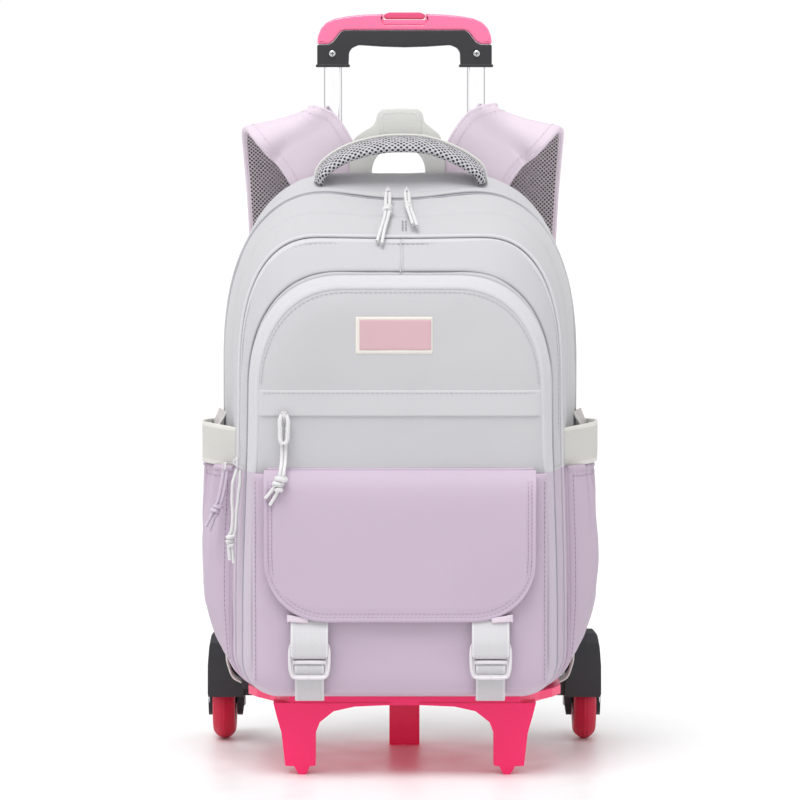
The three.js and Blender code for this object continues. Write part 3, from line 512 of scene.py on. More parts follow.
def ring_band(name, rings, offs, mats, depth=0.8, **kw):
    """A closed band over a surface given as closed rings; offs lift each ring off the surface along its normal."""
    P = np.stack(rings)
    N = normals(P, wj=True)
    c = P.mean((0, 1))
    if ((P - c) * N).sum() < 0:
        N = -N
    O = P + N * A(offs)[:, None, None]
    I = P - N * depth
    m, n = P.shape[:2]
    V = np.concatenate([O, I[::-1]]).reshape(-1, 3)
    s = np.concatenate([[0], np.cumsum(np.linalg.norm(np.diff(P[0], axis=0), axis=1))])
    t = np.concatenate([[0], np.cumsum(np.linalg.norm(np.diff(P[:, 0], axis=0), axis=1))])
    U = np.stack(np.broadcast_arrays(s[None, :], np.concatenate([t, t[::-1]])[:, None]), -1).reshape(-1, 2)
    return make(name, V, quads(2 * m, n, wi=True, wj=True), mats, uv=U, **kw)


def slab(name, P, N, t, mats, uv, nose=0.42, **kw):
    """A sheet of thickness t behind the surface P (m by n points), with rounded edges."""
    m, n = P.shape[:2]
    outer, inner = P.reshape(-1, 3), (P - N * t).reshape(-1, 3)
    loop = [(i, 0) for i in range(m)] + [(m - 1, j) for j in range(1, n)] + [(i, n - 1) for i in range(m - 2, -1, -1)] + [(0, j) for j in range(n - 2, 0, -1)]
    L = np.array(loop)
    ids = L[:, 0] * n + L[:, 1]
    inside = np.clip(L[:, 0], 1, m - 2) * n + np.clip(L[:, 1], 1, n - 2)
    out = unit(outer[ids] - outer[inside])
    mid = (outer[ids] + inner[ids]) / 2 + out * t * nose
    k, q = m * n, len(ids)
    V = np.vstack([outer, inner, mid])
    F = [quads(m, n), quads(m, n, base=k)[:, ::-1]]
    nx = np.roll(np.arange(q), -1)
    F.append(np.stack([ids, 2 * k + np.arange(q), 2 * k + nx, ids[nx]], 1))
    F.append(np.stack([2 * k + np.arange(q), k + ids, k + ids[nx], 2 * k + nx], 1))
    U = A(uv).reshape(-1, 2)
    return make(name, V, np.vstack(F), mats, uv=np.vstack([U, U, U[ids]]), **kw)


def lathe(name, profile, seg, mats, axis="Z", at=(0, 0, 0), sharp=35, **kw):
    """profile: closed list of (radius, along) turned about the axis."""
    pr = A(profile)
    a = np.linspace(0, TAU, seg, endpoint=False)
    c, s = np.cos(a)[:, None], np.sin(a)[:, None]
    r, h = pr[:, 0][None, :], pr[:, 1][None, :]
    x, y, z = r * c, r * s, np.broadcast_to(h, (seg, len(pr)))
    V = np.stack([x, y, z] if axis == "Z" else [z, x, y], -1) if axis != "Y" else np.stack([x, z, y], -1)
    V = V + A(at)
    L = np.concatenate([[0], np.cumsum(np.linalg.norm(np.diff(pr, axis=0), axis=1))])
    U = np.stack(np.broadcast_arrays(a[:, None] * pr[:, 0].max(), L[None, :]), -1)
    return make(name, V, quads(seg, len(pr), wi=True, wj=True), mats, uv=U, sharp=sharp, **kw)


def plate(name, outer, holes, y0, y1, mats, bevel=0.8, seg=3, plane="XZ", bag=True, sharp=32, **kw):
    """An outline given depth between y0 and y1 (x0 and x1 in the YZ plane), with rounded edges and holes."""
    cu = bpy.data.curves.new(name, "CURVE")
    cu.dimensions, cu.fill_mode = "2D", "BOTH"
    for pts in [outer] + list(holes):
        sp = cu.splines.new("POLY")
        sp.points.add(len(pts) - 1)
        for p, (a, b) in zip(sp.points, pts):
            p.co = (a, b, 0, 1)
        sp.use_cyclic_u = True
    cu.bevel_depth, cu.bevel_resolution, cu.offset = bevel, seg, -bevel
    cu.extrude = max(0.0, (y1 - y0) / 2 - bevel)
    ob = bpy.data.objects.new(name + "_tmp", cu)
    bpy.context.scene.collection.objects.link(ob)
    bpy.context.view_layer.update()
    me = bpy.data.meshes.new_from_object(ob.evaluated_get(bpy.context.evaluated_depsgraph_get()))
    bpy.data.objects.remove(ob)
    bpy.data.curves.remove(cu)
    v = np.empty(len(me.vertices) * 3)
    me.vertices.foreach_get("co", v)
    v = v.reshape(-1, 3)
    # weld the caps to the bevel rings
    key = np.round(v * 2000).astype(np.int64)
    _, first, inv = np.unique(key, axis=0, return_index=True, return_inverse=True)
    inv = inv.reshape(-1)
    F = []
    for p in me.polygons:
        f = [int(inv[k]) for k in p.vertices]
        f = [x for i, x in enumerate(f) if x != f[i - 1]]
        if len(f) > 2:
            F.append(f)
    v = v[first]
    bpy.data.meshes.remove(me)
    mid = (y0 + y1) / 2
    if plane == "XZ":
        V = np.stack([v[:, 0], mid - v[:, 2], v[:, 1]], 1)
        U = v[:, [0, 1]]
    elif plane == "YZ":
        V = np.stack([mid + v[:, 2], v[:, 0], v[:, 1]], 1)
        U = v[:, [0, 1]]
    else:
        V = np.stack([v[:, 0], v[:, 1], mid + v[:, 2]], 1)
        U = v[:, [0, 1]]
    return make(name, V, F, mats, bag=bag, uv=U, sharp=sharp, **kw)


def rounded(pts, r=2.0, n=4):
    """A closed outline with each corner cut by a small curve."""
    P = A(pts)
    out = []
    for i in range(len(P)):
        a, b, c = P[i - 1], P[i], P[(i + 1) % len(P)]
        u, w = a - b, c - b
        lu, lw = np.linalg.norm(u), np.linalg.norm(w)
        k = min(r, lu * 0.45, lw * 0.45)
        s, e = b + u / lu * k, b + w / lw * k
        for t in np.linspace(0, 1, n + 1):
            out.append(tuple((1 - t) ** 2 * s + 2 * t * (1 - t) * b + t * t * e))
    return out


def rect(x0, x1, z0, z1):
    return [(x0, z0), (x1, z0), (x1, z1), (x0, z1)]


def stitches(name, lines, mats, length=3.0, gap=1.2, r=0.36, lift=0.15, **kw):
    """Rows of thread stitches: lines are (points, outward directions)."""
    V, F = [], []
    prof = [(-0.5, 0.35), (-0.3, 0.9), (0.0, 1.0), (0.3, 0.9), (0.5, 0.35)]
    k = 5
    a = np.linspace(0, TAU, k, endpoint=False)
    for pts, nor in lines:
        P, N = A(pts), A(nor)
        s = np.concatenate([[0], np.cumsum(np.linalg.norm(np.diff(P, axis=0), axis=1))])
        if s[-1] < length:
            continue
        for c in np.arange(length / 2, s[-1] - length / 2, length + gap):
            p = np.array([np.interp(c, s, P[:, d]) for d in range(3)])
            p1 = np.array([np.interp(c + length / 2, s, P[:, d]) for d in range(3)])
            p0 = np.array([np.interp(c - length / 2, s, P[:, d]) for d in range(3)])
            n = unit(np.array([np.interp(c, s, N[:, d]) for d in range(3)]))
            t = unit(p1 - p0)
            b = np.cross(t, n)
            base = len(V)
            for u, w in prof:
                o = p + t * u * length + n * (lift - 0.35 * abs(u))
                V += [tuple(o + r * w * (math.cos(x) * b + 0.8 * math.sin(x) * n)) for x in a]
            F += quads(len(prof), k, wj=True, base=base).tolist()
            F += [[base + j for j in range(k)][::-1], [base + (len(prof) - 1) * k + j for j in range(k)]]
    return make(name, V, F, mats, flip=False, **kw)


# ---------------------------------------------------------------- the bag's outline at each depth
SECTIONS = [
    (76, 147, 147, 104, 163, 2.5, 511, 74.5, 34, 0), (68, 153.5, 152, 110, 169, 2.5, 517, 68.6, 38, 1),
    (30, 154.5, 153, 102, 156, 2.5, 501, 68.2, 38, 8), (-10, 146, 149, 84, 132, 2.6, 483, 68.2, 36, 5),
    (-45, 138, 142, 70, 122, 2.5, 462, 68.2, 34, 1), (-85, 129.5, 134.5, 82, 101, 2.3, 430.5, 68.6, 31, 0),
    (-92, 124.5, 130, 78, 96, 2.3, 424.5, 71.5, 29, 0)]
SEC = A(SECTIONS)[::-1]


def section(y):
    return dict(zip(("w", "wb", "ax", "az", "n", "zt", "zb", "rb", "dip"), [float(np.interp(y, SEC[:, 0], SEC[:, k])) for k in range(1, 10)]))


def side_width(s, z):
    return s["wb"] + (s["w"] - s["wb"]) * smooth(130, 340, z)


def outline(s, inset=0.0, nb=14, nc=14, ns=46, nt=44, ne=18):
    w, wb, zb, zt = s["w"] - inset, s["wb"] - inset, s["zb"] + inset, s["zt"] - inset
    rb, ax, az = max(4, s["rb"] - inset), s["ax"] - inset * 0.5, s["az"] - inset
    x0 = np.linspace(0, wb - rb, nb, endpoint=False)
    h = [np.stack([x0, np.full(nb, zb)], 1)]
    a = np.linspace(0, math.pi / 2, nc, endpoint=False)
    h.append(np.stack([wb - rb + rb * np.sin(a), zb + rb - rb * np.cos(a)], 1))
    z = np.linspace(zb + rb, zt - az, ns, endpoint=False)
    h.append(np.stack([side_width(s, z) - inset, z], 1))
    a = np.linspace(0, math.pi / 2, nt, endpoint=False)
    h.append(np.stack([w - ax + ax * np.cos(a) ** (2 / s["n"]), zt - az + az * np.sin(a) ** (2 / s["n"])], 1))
    x = np.linspace(w - ax, 0, ne + 1)
    h.append(np.stack([x, np.full(ne + 1, zt)], 1))
    h = np.vstack(h)
    top = np.arange(len(h)) > nb + nc + ns
    h[:, 1] -= np.where(top, s["dip"] * np.exp(-((h[:, 0] / 52) ** 2)), 0)
    return np.vstack([h, h[-2:0:-1] * [-1, 1]])


def ring(y, inset=0.0, scale=1.0, s=None, **kw):
    s = s or section(y)
    o = outline(s, inset, **kw)
    cz = (s["zt"] + s["zb"]) / 2
    return np.stack([o[:, 0] * scale, np.full(len(o), float(y)), cz + (o[:, 1] - cz) * scale], 1)


crinkle = waves(11, 14, 46, 150)
fine_crinkle = waves(12, 16, 14, 34)
SHELL_SOFT = 0.75


def body_shell(name, ys, groove, cap, wall, mats, rep, slot):
    """A hollow cup: ys run from the closed end to the open edge; cap holds (scale, inset, y) of the closed end's rings."""
    outer = [ring(y, i, k) for k, i, y in cap] + [ring(y) for y in ys]
    P = np.stack(outer)
    N = normals(P, wj=True)
    c = P.mean((0, 1))
    if ((P - c) * N).sum() < 0:
        N = -N
    off = np.zeros(P.shape[:2])
    yy = P[:, :, 1]
    off += groove(yy, P)
    off += crinkle(P) * 0.55 * SHELL_SOFT + fine_crinkle(P) * 0.12
    O = P + N * off[:, :, None]
    k = len(cap)
    inner = [ring(y if i >= k else y + (wall if ys[-1] > y else -wall), wall + (cap[i][1] if i < k else 0), cap[i][0] if i < k else 1.0)
             for i, y in [(i, (cap[i][2] if i < k else ys[i - k])) for i in list(range(k)) + list(range(k, k + len(ys), 6)) + [k + len(ys) - 1]]]
    V = np.concatenate([O, np.stack(inner)[::-1]])
    m, n = V.shape[:2]
    V = np.vstack([V.reshape(-1, 3), O[0].mean(0), inner[0].mean(0)])
    F = quads(m, n, wj=True).tolist()
    F += [[m * n, (j + 1) % n, j] for j in range(n)] + [[m * n + 1, (m - 1) * n + j, (m - 1) * n + (j + 1) % n] for j in range(n)]
    s = np.concatenate([[0], np.cumsum(np.linalg.norm(np.diff(P[k], axis=0), axis=1))])
    t = np.concatenate([[0], np.cumsum(np.linalg.norm(np.diff(V[:m * n].reshape(m, n, 3)[:, n // 4], axis=0), axis=1))])
    U = np.stack(np.broadcast_arrays(s[None, :], t[:, None]), -1).reshape(-1, 2)
    return make(name, V, F, mats, uv=np.vstack([U, [[0, 0], [0, 0]]]), rep=rep, slot=slot)


# ---------------------------------------------------------------- pull cords (first, as their room is checked)
PULLS = {
    "top_left": [(-10.5, 22, 498.6), (-10.8, 6, 493), (-11, -10, 485.2), (-12, -26, 478.6), (-15, -44, 468.4), (-18, -60, 456.6)],
    "top_right": [(6, 22, 498.8), (6.6, 6, 493), (8, -10, 485.4), (10.5, -26, 478.8), (13, -40, 471.2)],
    "welt": [(-98.6, -107.2, 303), (-98.8, -108.4, 288), (-99, -112, 274), (-99.6, -121, 267.5), (-101, -125, 259), (-106, -125.2, 249), (-113, -124.8, 239)],
    "front_zip": [(-138.4, -79, 264), (-140.6, -80, 250), (-141.6, -80, 236), (-143, -80, 211), (-145.4, -80, 204), (-144.4, -80, 183)],
    "side_zip": [(-151.4, -36, 259), (-153.6, -38, 245), (-157, -39, 231), (-163, -39, 218), (-167.5, -38, 208)],
}
# how far apart the two strands lie along the pull, and where its knot is (shares of the length), and the knot's size
SPREAD = {
    "top_left": ([0, .25, .5, .62, 1], [3.2, 3.6, 2.6, 2.6, 4.4], 0.42, 4.9),
    "top_right": ([0, .3, .5, 1], [2.6, 3.0, 2.6, 3.4], 0.45, 3.6),
    "welt": ([0, .3, .6, .74, 1], [3.6, 3.2, 3.1, 3.2, 6.6], 0.73, 5.9),
    "front_zip": ([0, .15, .34, .5, .75, 1], [2.6, 6.2, 5.0, 2.6, 2.6, 3.2], 0.76, 4.6),
    "side_zip": ([0, .3, .6, .75, 1], [2.6, 3.4, 2.6, 2.6, 4.4], 0.66, 4.8),
}
STRAND = 1.5


def knot(name, at, direction, size, mat, seed):
    """An overhand knot: a short coil of cord wound round itself."""
    d = unit(A(direction))
    x = unit(np.cross(d, (0, 1, 0)))
    y = np.cross(d, x)
    t = np.linspace(0, 1, 64)
    ang = TAU * (2.35 * t) + seed
    R = size * (0.52 + 0.13 * np.sin(TAU * t * 1.5))
    h = (t - 0.5) * size * 1.9
    P = A(at) + R[:, None] * (np.cos(ang)[:, None] * x + np.sin(ang)[:, None] * y * 0.9) + h[:, None] * d
    P = np.vstack([A(at) - d * size * 1.15, P, A(at) + d * size * 1.15])
    P, _ = spaced(catmull(P, np.linspace(0, 1, 260)), count=90)
    rr = size * 0.4 * (1 - 0.25 * np.abs(np.linspace(-1, 1, 90)) ** 6)
    return tube(name, P, rr, mat, k=10, slot="pull_cord")


for pull, pts in PULLS.items():
    P0, q = spaced(catmull(pts, np.linspace(0, 1, 300)), count=34)
    tt = q / q[-1]
    T = unit(np.gradient(P0, axis=0))
    ref = A((0, 0, 1)) if pull.startswith("top") else A((0, -1, 0))
    S = unit(np.cross(T, ref))
    at, wide, kn, size = SPREAD[pull]
    half = np.maximum(np.interp(tt, at, wide) / 2, STRAND + 0.06)
    colour = "cord_lav" if pull == "side_zip" else "cord"
    kp = P0[int(kn * 33)]
    kob = knot("knot_" + pull, kp, T[int(kn * 33)], size, colour, len(pull) * 1.3)
    for side, tag in ((-1, "a"), (1, "b")):
        path = P0 + S * (half * side)[:, None]
        path = path + A((0, 0, 0.1)) * side
        cut = 34 if tag == "a" else 33
        path = path[:cut]
        fine, _ = spaced(catmull(path, np.linspace(0, 1, 200)), count=60)
        ob = tube("cord_%s_%s" % (pull, tag), fine, STRAND, colour, k=10, slot="pull_cord", rep=("pull_cord_" + pull,))

# ---------------------------------------------------------------- the four shells
n_y = lambda a, b, step: list(np.linspace(a, b, max(2, int(abs(a - b) / step) + 1)))


def tuck(y, edge, width, deep):
    """Turned-in cloth at a seam: the surface dives towards the edge."""
    return -deep * (1 - smooth(0, width, np.abs(y - edge)))


body_shell(
    "back_shell", n_y(67, 30.2, 1.8),
    lambda y, P: tuck(y, 30.2, 1.2, 0.6) + 0.9 * gauss(y, 33.2, 2.2) - 0.7 * gauss(y, 37.4, 0.9) - 0.5 * gauss(y, 66, 1.6),
    [(0.3, 0, 76), (0.6, 0, 76), (0.8, 0, 76), (0.9, 0, 76), (0.96, 3, 76), (1, 5, 76), (1, 3.4, 75.4), (1, 2.2, 74.4), (1, 1, 73), (1, 0.5, 71), (1, 0, 68.5)],
    2.6, "body", ("back_shell",), "shell_cloth")
body_shell(
    "main_shell", n_y(-43.4, 29.8, 1.5),
    lambda y, P: tuck(y, 29.8, 2.6, 2.4) + 0.9 * np.sin(np.clip((y + 10) / 40, 0, 1) * math.pi) + 0.8 * np.sin(np.clip((-10 - y) / 33, 0, 1) * math.pi)
    - 1.3 * gauss(y, -10, 1.3) + 0.5 * gauss(y, -13.2, 1.6) + tuck(y, -44.8, 2.0, 1.3)
    + smooth(262, 238, P[:, :, 2]) * (1.0 * gauss(y, -28 + 3 * np.sin(P[:, :, 2] / 50), 3.2) - 1.5 * gauss(y, -22 + 3 * np.sin(P[:, :, 2] / 61), 2.2)),
    [(0.3, 0, -44.8), (0.6, 0, -44.8), (0.9, 0, -44.8), (1, 1.4, -44.8), (1, 0.7, -44.4)],
    2.6, "body", ("main_shell",), "shell_cloth")
body_shell(
    "second_shell", n_y(-83.4, -45.2, 1.5),
    lambda y, P: tuck(y, -45.2, 2.2, 1.2) + 1.1 * np.sin(np.clip((-48 - y) / 30, 0, 1) * math.pi) * (1 - 0.6 * smooth(-60, -82, y) * 0)
    - 1.4 * gauss(y, -80.2, 1.5) + tuck(y, -84.8, 2.0, 1.6),
    [(0.3, 0, -84.8), (0.6, 0, -84.8), (0.9, 0, -84.8), (1, 1.6, -84.8), (1, 0.7, -84.4)],
    2.6, "gusset", ("second_shell",), "shell_cloth")

F92 = section(-92)
CZ = (F92["zt"] + F92["zb"]) / 2
_o = outline(F92, 0, nt=200, ns=80)
_th = np.arctan2(_o[:, 1] - CZ, _o[:, 0])
_r = np.hypot(_o[:, 0], _o[:, 1] - CZ)
_k = np.argsort(_th)
_th, _r = _th[_k], _r[_k]


def gauge(x, z):
    th = np.arctan2(z - CZ, x)
    return np.hypot(x, z - CZ) / np.interp(th, _th, _r, period=TAU)


def dome(s):
    t = np.clip((s - 0.45) / 0.55, 0, 1)
    return -92 - 12.1 * (1 - t ** 4) ** 0.4


def front_y(x, z):
    return dome(gauge(A(x), A(z)))


def dome_ring(s, lift=0.0):
    r = ring(-92, 0, s, F92)
    r[:, 1] = dome(s) - lift
    return r


panel_soft = waves(21, 10, 60, 170)
S_OUT = [1 - (1 - c) for c in list(np.linspace(0.04, 0.72, 26)) + list(np.linspace(0.74, 0.93, 16)) + list(np.linspace(0.94, 1.0, 14))]
rings = [dome_ring(s) for s in S_OUT] + [ring(y) for y in (-91.2, -90, -88.5, -87, -86, -85.6, -85.2)]
P = np.stack(rings)
fall = 1 - smooth(0.86, 0.97, np.array(S_OUT + [1.0] * 7))[:, None]
P[:, :, 1] -= fall * (panel_soft(P) * 0.55 + 0.5 * gauss(P[:, :, 2], 352, 20) + fine_crinkle(P) * 0.06)
inner = [dome_ring(s, -2.6) for s in S_OUT[::5]] + [ring(-88, 2.6), ring(-85.2, 2.6)]
V = np.concatenate([P, np.stack(inner)[::-1]])
m_, n_ = V.shape[:2]
V = np.vstack([V.reshape(-1, 3), P[0].mean(0), inner[0].mean(0)])
F = quads(m_, n_, wj=True).tolist()
F += [[m_ * n_, (j + 1) % n_, j] for j in range(n_)] + [[m_ * n_ + 1, (m_ - 1) * n_ + j, (m_ - 1) * n_ + (j + 1) % n_] for j in range(n_)]
make("front_shell", V, F, "body", uv=V[:, [0, 2]], rep=("front_shell",), slot="shell_cloth")

# pale bound edge round the front panel, and the piping between main and second compartment
ring_band("front_binding", [ring(-85.3, -0.2), ring(-86.6), ring(-88.5), ring(-90.5), ring(-92), dome_ring(0.996), dome_ring(0.988), dome_ring(0.978), dome_ring(0.966)],
          [0.2, 0.7, 0.9, 0.9, 0.9, 0.9, 0.9, 0.8, 0.2], "band", slot="shell_cloth")
pipe = ring(-44.0, -0.6)
tube("piping_main", pipe, 1.7, "piping", k=10, closed=True, up=(0, 1, 0), slot="shell_cloth")
ring_band("piping_main_tape", [ring(-46.2), ring(-47.6), ring(-49.4), ring(-51.0)], [0.2, 0.5, 0.5, 0.2], "band", slot="shell_cloth")
ring_band("zip_flap_back", [ring(30.6), ring(31.6), ring(34), ring(37), ring(38.6)], [1.2, 1.6, 1.3, 1.0, 0.3], "body", slot="shell_cloth")
tube("zip_chain_front", ring(-80.2, 0.2), 0.9, "zip", k=8, closed=True, up=(0, 1, 0), slot="shell_cloth")
tube("zip_chain_back", ring(29.0, 0.6), 0.9, "zip", k=8, closed=True, up=(0, 1, 0), slot="shell_cloth")


def ring_line(y, off, zmin=None, zmax=None, inset=0.0):
    """A stretch of the outline at depth y with its outward directions."""
    r = ring(y, inset)
    d = np.gradient(r, axis=0)
    n = unit(np.stack([d[:, 2], np.zeros(len(r)), -d[:, 0]], 1))
    if ((r - r.mean(0)) * n).sum() < 0:
        n = -n
    return r + n * off, n


def runs(P, N, keep):
    """Splits a closed line into the stretches where keep is true."""
    if keep.all():
        return [(np.vstack([P, P[:1]]), np.vstack([N, N[:1]]))]
    start = int(np.argmin(keep))
    P, N, keep = (np.roll(a, -start, 0) for a in (P, N, keep))
    out, i = [], 0
    while i < len(P):
        if keep[i]:
            j = i
            while j < len(P) and keep[j]:
                j += 1
            if j - i > 3:
                out.append((P[i:j], N[i:j]))
            i = j
        i += 1
    return out


lines, lines_lav = [], []
for y, off in ((-52.2, 0.35),):
    L_, N_ = ring_line(y, off)
    lines += runs(L_, N_, L_[:, 2] > 264)
    lines_lav += runs(L_, N_, (L_[:, 2] < 261) & (L_[:, 2] > 76))
for s in (0.955,):
    r = dome_ring(s)
    n = np.tile(A((0, -1, 0)), (len(r), 1))
    r[:, 1] -= 0.55
    lines += runs(r, n, r[:, 2] > 336)
    lines_lav += runs(r, n, (r[:, 2] < 262))
stitches("stitching_grey", lines, "thread", slot="shell_cloth")

# the seam where grey meets lavender, round the sides and front panel
for nm, y0, y1 in (("back", 74, 31), ("main", 28.6, -43), ("second", -47, -84)):
    for side, tag in ((-1, "left"), (1, "right")):
        yy = np.linspace(y0, y1, 26)
        zz = np.full(26, 262.4)
        xx = np.array([float(side_width(section(y), 262.4)) for y in yy]) + (1.6 if nm != "back" else 0.7)
        lines.append((np.stack([side * xx, yy, zz + 3.2], 1), np.tile(A((side, 0, 0)), (26, 1))))

# horizontal seam and welt of the front panel's zip opening
xs = np.linspace(-121, 121, 160)
zs = np.concatenate([[333.4, 333.0], np.linspace(332, 313.2, 12), [312.4, 311.6, 311.2]])
lift = np.concatenate([[-0.9, -0.2], np.linspace(0.1, 0.75, 12), [0.8, 0.7, 0.3]])
X, Z = np.meshgrid(xs, zs, indexing="ij")
X = X * np.interp(Z, [311, 333], [1.0, 0.995])
Y = front_y(X, Z)
endf = smooth(121, 117, np.abs(X))
Psurf = np.stack([X, Y - (lift[None, :] + 0.7) * (0.25 + 0.75 * endf) - panel_soft(np.stack([X, Y, Z], -1)) * 0.55 * (1 - smooth(0.86, 0.97, gauge(X, Z))), Z], -1)
slab("welt_facing", Psurf, np.broadcast_to(A((0, -1, 0)), Psurf.shape), 1.3, "grey", Psurf[:, :, [0, 2]], slot="shell_cloth")
xs2 = np.linspace(-119, 119, 120)
Pz = np.stack([xs2, front_y(xs2, np.full(120, 308.8)) - 0.3 - panel_soft(np.stack([xs2, front_y(xs2, np.full(120, 308.8)), np.full(120, 308.8)], -1)) * 0.5, np.full(120, 308.8)], 1)
tube("zip_chain_welt", Pz + A((0, 0.7, 3.0)), 0.7, "zip", k=8, up=(0, 1, 0), slot="shell_cloth")
wl = []
for zz, o in ((331.0, 1.0),):
    xs3 = np.linspace(-117, 117, 100)
    yy = front_y(xs3, np.full(100, zz))
    wl.append((np.stack([xs3, yy - o - panel_soft(np.stack([xs3, yy, np.full(100, zz)], -1)) * 0.55, np.full(100, zz)], 1), np.tile(A((0, -1, 0)), (100, 1))))
stitches("stitching_welt", wl, "thread", slot="shell_cloth")

# middle seam on the top gusset
yy = np.linspace(-47.5, -83.5, 24)
top = np.array([section(y)["zt"] - section(y)["dip"] for y in yy])
tube("gusset_seam", np.stack([np.full(24, 0.4), yy, top + 0.7], 1), 0.55, "gusset", k=6, up=(1, 0, 0), slot="shell_cloth")
lines.append((np.stack([np.full(24, 2.6), yy, top + 1.15], 1), np.tile(A((0, 0, 1)), (24, 1))))
stitches("stitching_seams", lines[-7:], "thread", slot="shell_cloth")

# ---------------------------------------------------------------- bare label: pink patch with an ivory border
u = np.linspace(0, 1, 34)[:, None]
v = np.linspace(0, 1, 18)[None, :]
X, Z = np.broadcast_arrays(-37.5 + 65 * u, 395.5 - 31 * v)
Y = front_y(X, Z) - 0.75 - panel_soft(np.stack([X, front_y(X, Z), Z], -1)) * 0.55
S = np.stack([X, Y, Z], -1)
slab("label_border", S, np.broadcast_to(A((0, -1, 0)), S.shape), 0.6, "label_edge", S[:, :, [0, 2]], rep=("label_patch",), slot="label")
X, Z = np.broadcast_arrays(-34.2 + 60.6 * u, 393.0 - 25.2 * v)
Y = front_y(X, Z) - 1.15 - 0.12 * np.sin(u * 9) * np.sin(v * 7) - panel_soft(np.stack([X, front_y(X, Z), Z], -1)) * 0.55
S = np.stack([X, Y, Z], -1)
slab("label_face", S, np.broadcast_to(A((0, -1, 0)), S.shape), 0.5, "label", S[:, :, [0, 2]], slot="label")
box_ = A([(-35.9, 394.2), (26.3, 394.2), (26.3, 366.0), (-35.9, 366.0), (-35.9, 394.2)])
lb, _ = spaced(box_, step=1.0)
yy = front_y(lb[:, 0], lb[:, 1])
lp = np.stack([lb[:, 0], yy - 0.8 - panel_soft(np.stack([lb[:, 0], yy, lb[:, 1]], -1)) * 0.55, lb[:, 1]], 1)
stitches("stitching_label", [(lp, np.tile(A((0, -1, 0)), (len(lp), 1)))], "thread_white", 2.2, 0.8, 0.3, slot="label")

# ---------------------------------------------------------------- patch pocket and its flap
PK = dict(half=126, z0=73, z1=250, y=-105, deep=11.6)
pocket_soft = waves(31, 10, 40, 130)


def pocket(u, v):
    a = (u - 0.5) * 2
    s = np.sign(a) * np.abs(a) ** 0.82
    rise = np.minimum(1, (1 - np.abs(s) ** 7) ** 0.5) * np.minimum(1, (1 - (1 - np.minimum(1, v / 0.22)) ** 2.4) ** 0.6)
    low = 9 * np.abs(s) ** 6 * (1 - v) ** 3
    top = PK["z1"] + 11.6 * smooth(0.86, 0.93, np.abs(s))
    return np.stack([s * PK["half"], PK["y"] - PK["deep"] * rise, PK["z0"] + low + (top - PK["z0"] - low) * v ** 1.25], -1), rise


ui = np.sin(np.linspace(-1, 1, 121) * math.pi / 2) * 0.5 + 0.5
ui = 0.35 * ui + 0.65 * np.linspace(0, 1, 121)
vi = np.concatenate([np.linspace(0, 0.2, 22, endpoint=False), np.linspace(0.2, 1, 46)])
UU, VV = np.meshgrid(ui, vi, indexing="ij")
S, rise = pocket(UU, VV)
S[:, :, 1] -= rise * (pocket_soft(S) * 0.7 - 0.6) + 0.5 * np.sin(np.clip(VV, 0, 1) * math.pi) * 0
N = normals(S)
if N[:, :, 1].mean() > 0:
    N = -N
slab("front_pocket", S, N, 2.2, "lav", S[:, :, [0, 2]], rep=("front_pocket",), slot="lavender_cloth")
edge_v = 0.985
# stitch line just inside the pocket's sewn border
bl = []
for side in (0, 1):
    vvv = np.linspace(0.06, 0.98, 90)
    p, _ = pocket(np.full(90, 0.014 if side == 0 else 0.986), vvv)
    nrm = np.tile(unit(A((-0.75 if side == 0 else 0.75, -0.65, 0))), (90, 1))
    bl.append((p + nrm * 0.2, nrm))
stitches("stitching_pocket", bl, "thread_lav", slot="lavender_cloth")

FL = dict(half=115.5, z0=265.0, z1=137.5, corner=56.0)
flap_soft = waves(32, 9, 70, 170)


def flap(x, v):
    over = np.maximum(0, np.abs(x) - (FL["half"] - FL["corner"])) / FL["corner"]
    zb = FL["z1"] + 52 * (1 - np.sqrt(np.maximum(0, 1 - over ** 2.2)))
    z = FL["z0"] + (zb - FL["z0"]) * v
    fall = FL["z0"] - z
    out = (1 - np.exp(-fall / 7)) * 15.6
    y = -105.2 - out - 0.8 * np.sin(math.pi * v) - (1 - (x / FL["half"]) ** 2) * 0.6
    return np.stack([x, y, z], -1)


xa = FL["half"] * np.sin(np.linspace(-1, 1, 151) * math.pi / 2)
xa = 0.45 * xa + 0.55 * np.linspace(-1, 1, 151) * FL["half"]
va = np.concatenate([np.linspace(0, 0.16, 16, endpoint=False), np.linspace(0.16, 1, 64)])
XX, VV = np.meshgrid(xa, va, indexing="ij")
S = flap(XX, VV)
ease = smooth(0.0, 0.25, VV)
S[:, :, 1] -= ease * (flap_soft(S) * 0.55 + 0.25)
# the stitched border presses the edge down a little
edge_d = np.minimum((1 - VV) * 128 * 0.9, (FL["half"] - np.abs(XX)))
S[:, :, 1] += ease * (0.75 * gauss(edge_d, 3.9, 0.9) + 0.7 * gauss(edge_d, 6.9, 0.9) - 0.35 * gauss(edge_d, 1.0, 1.4))
N = normals(S)
if N[:, :, 1].mean() > 0:
    N = -N
N[:, 0] = A((0, -1, 0))
flap_ob = slab("flap", S + A((0, -2.0, 0)), N, 1.9, "lav", S[:, :, [0, 2]], rep=("flap",), slot="lavender_cloth")


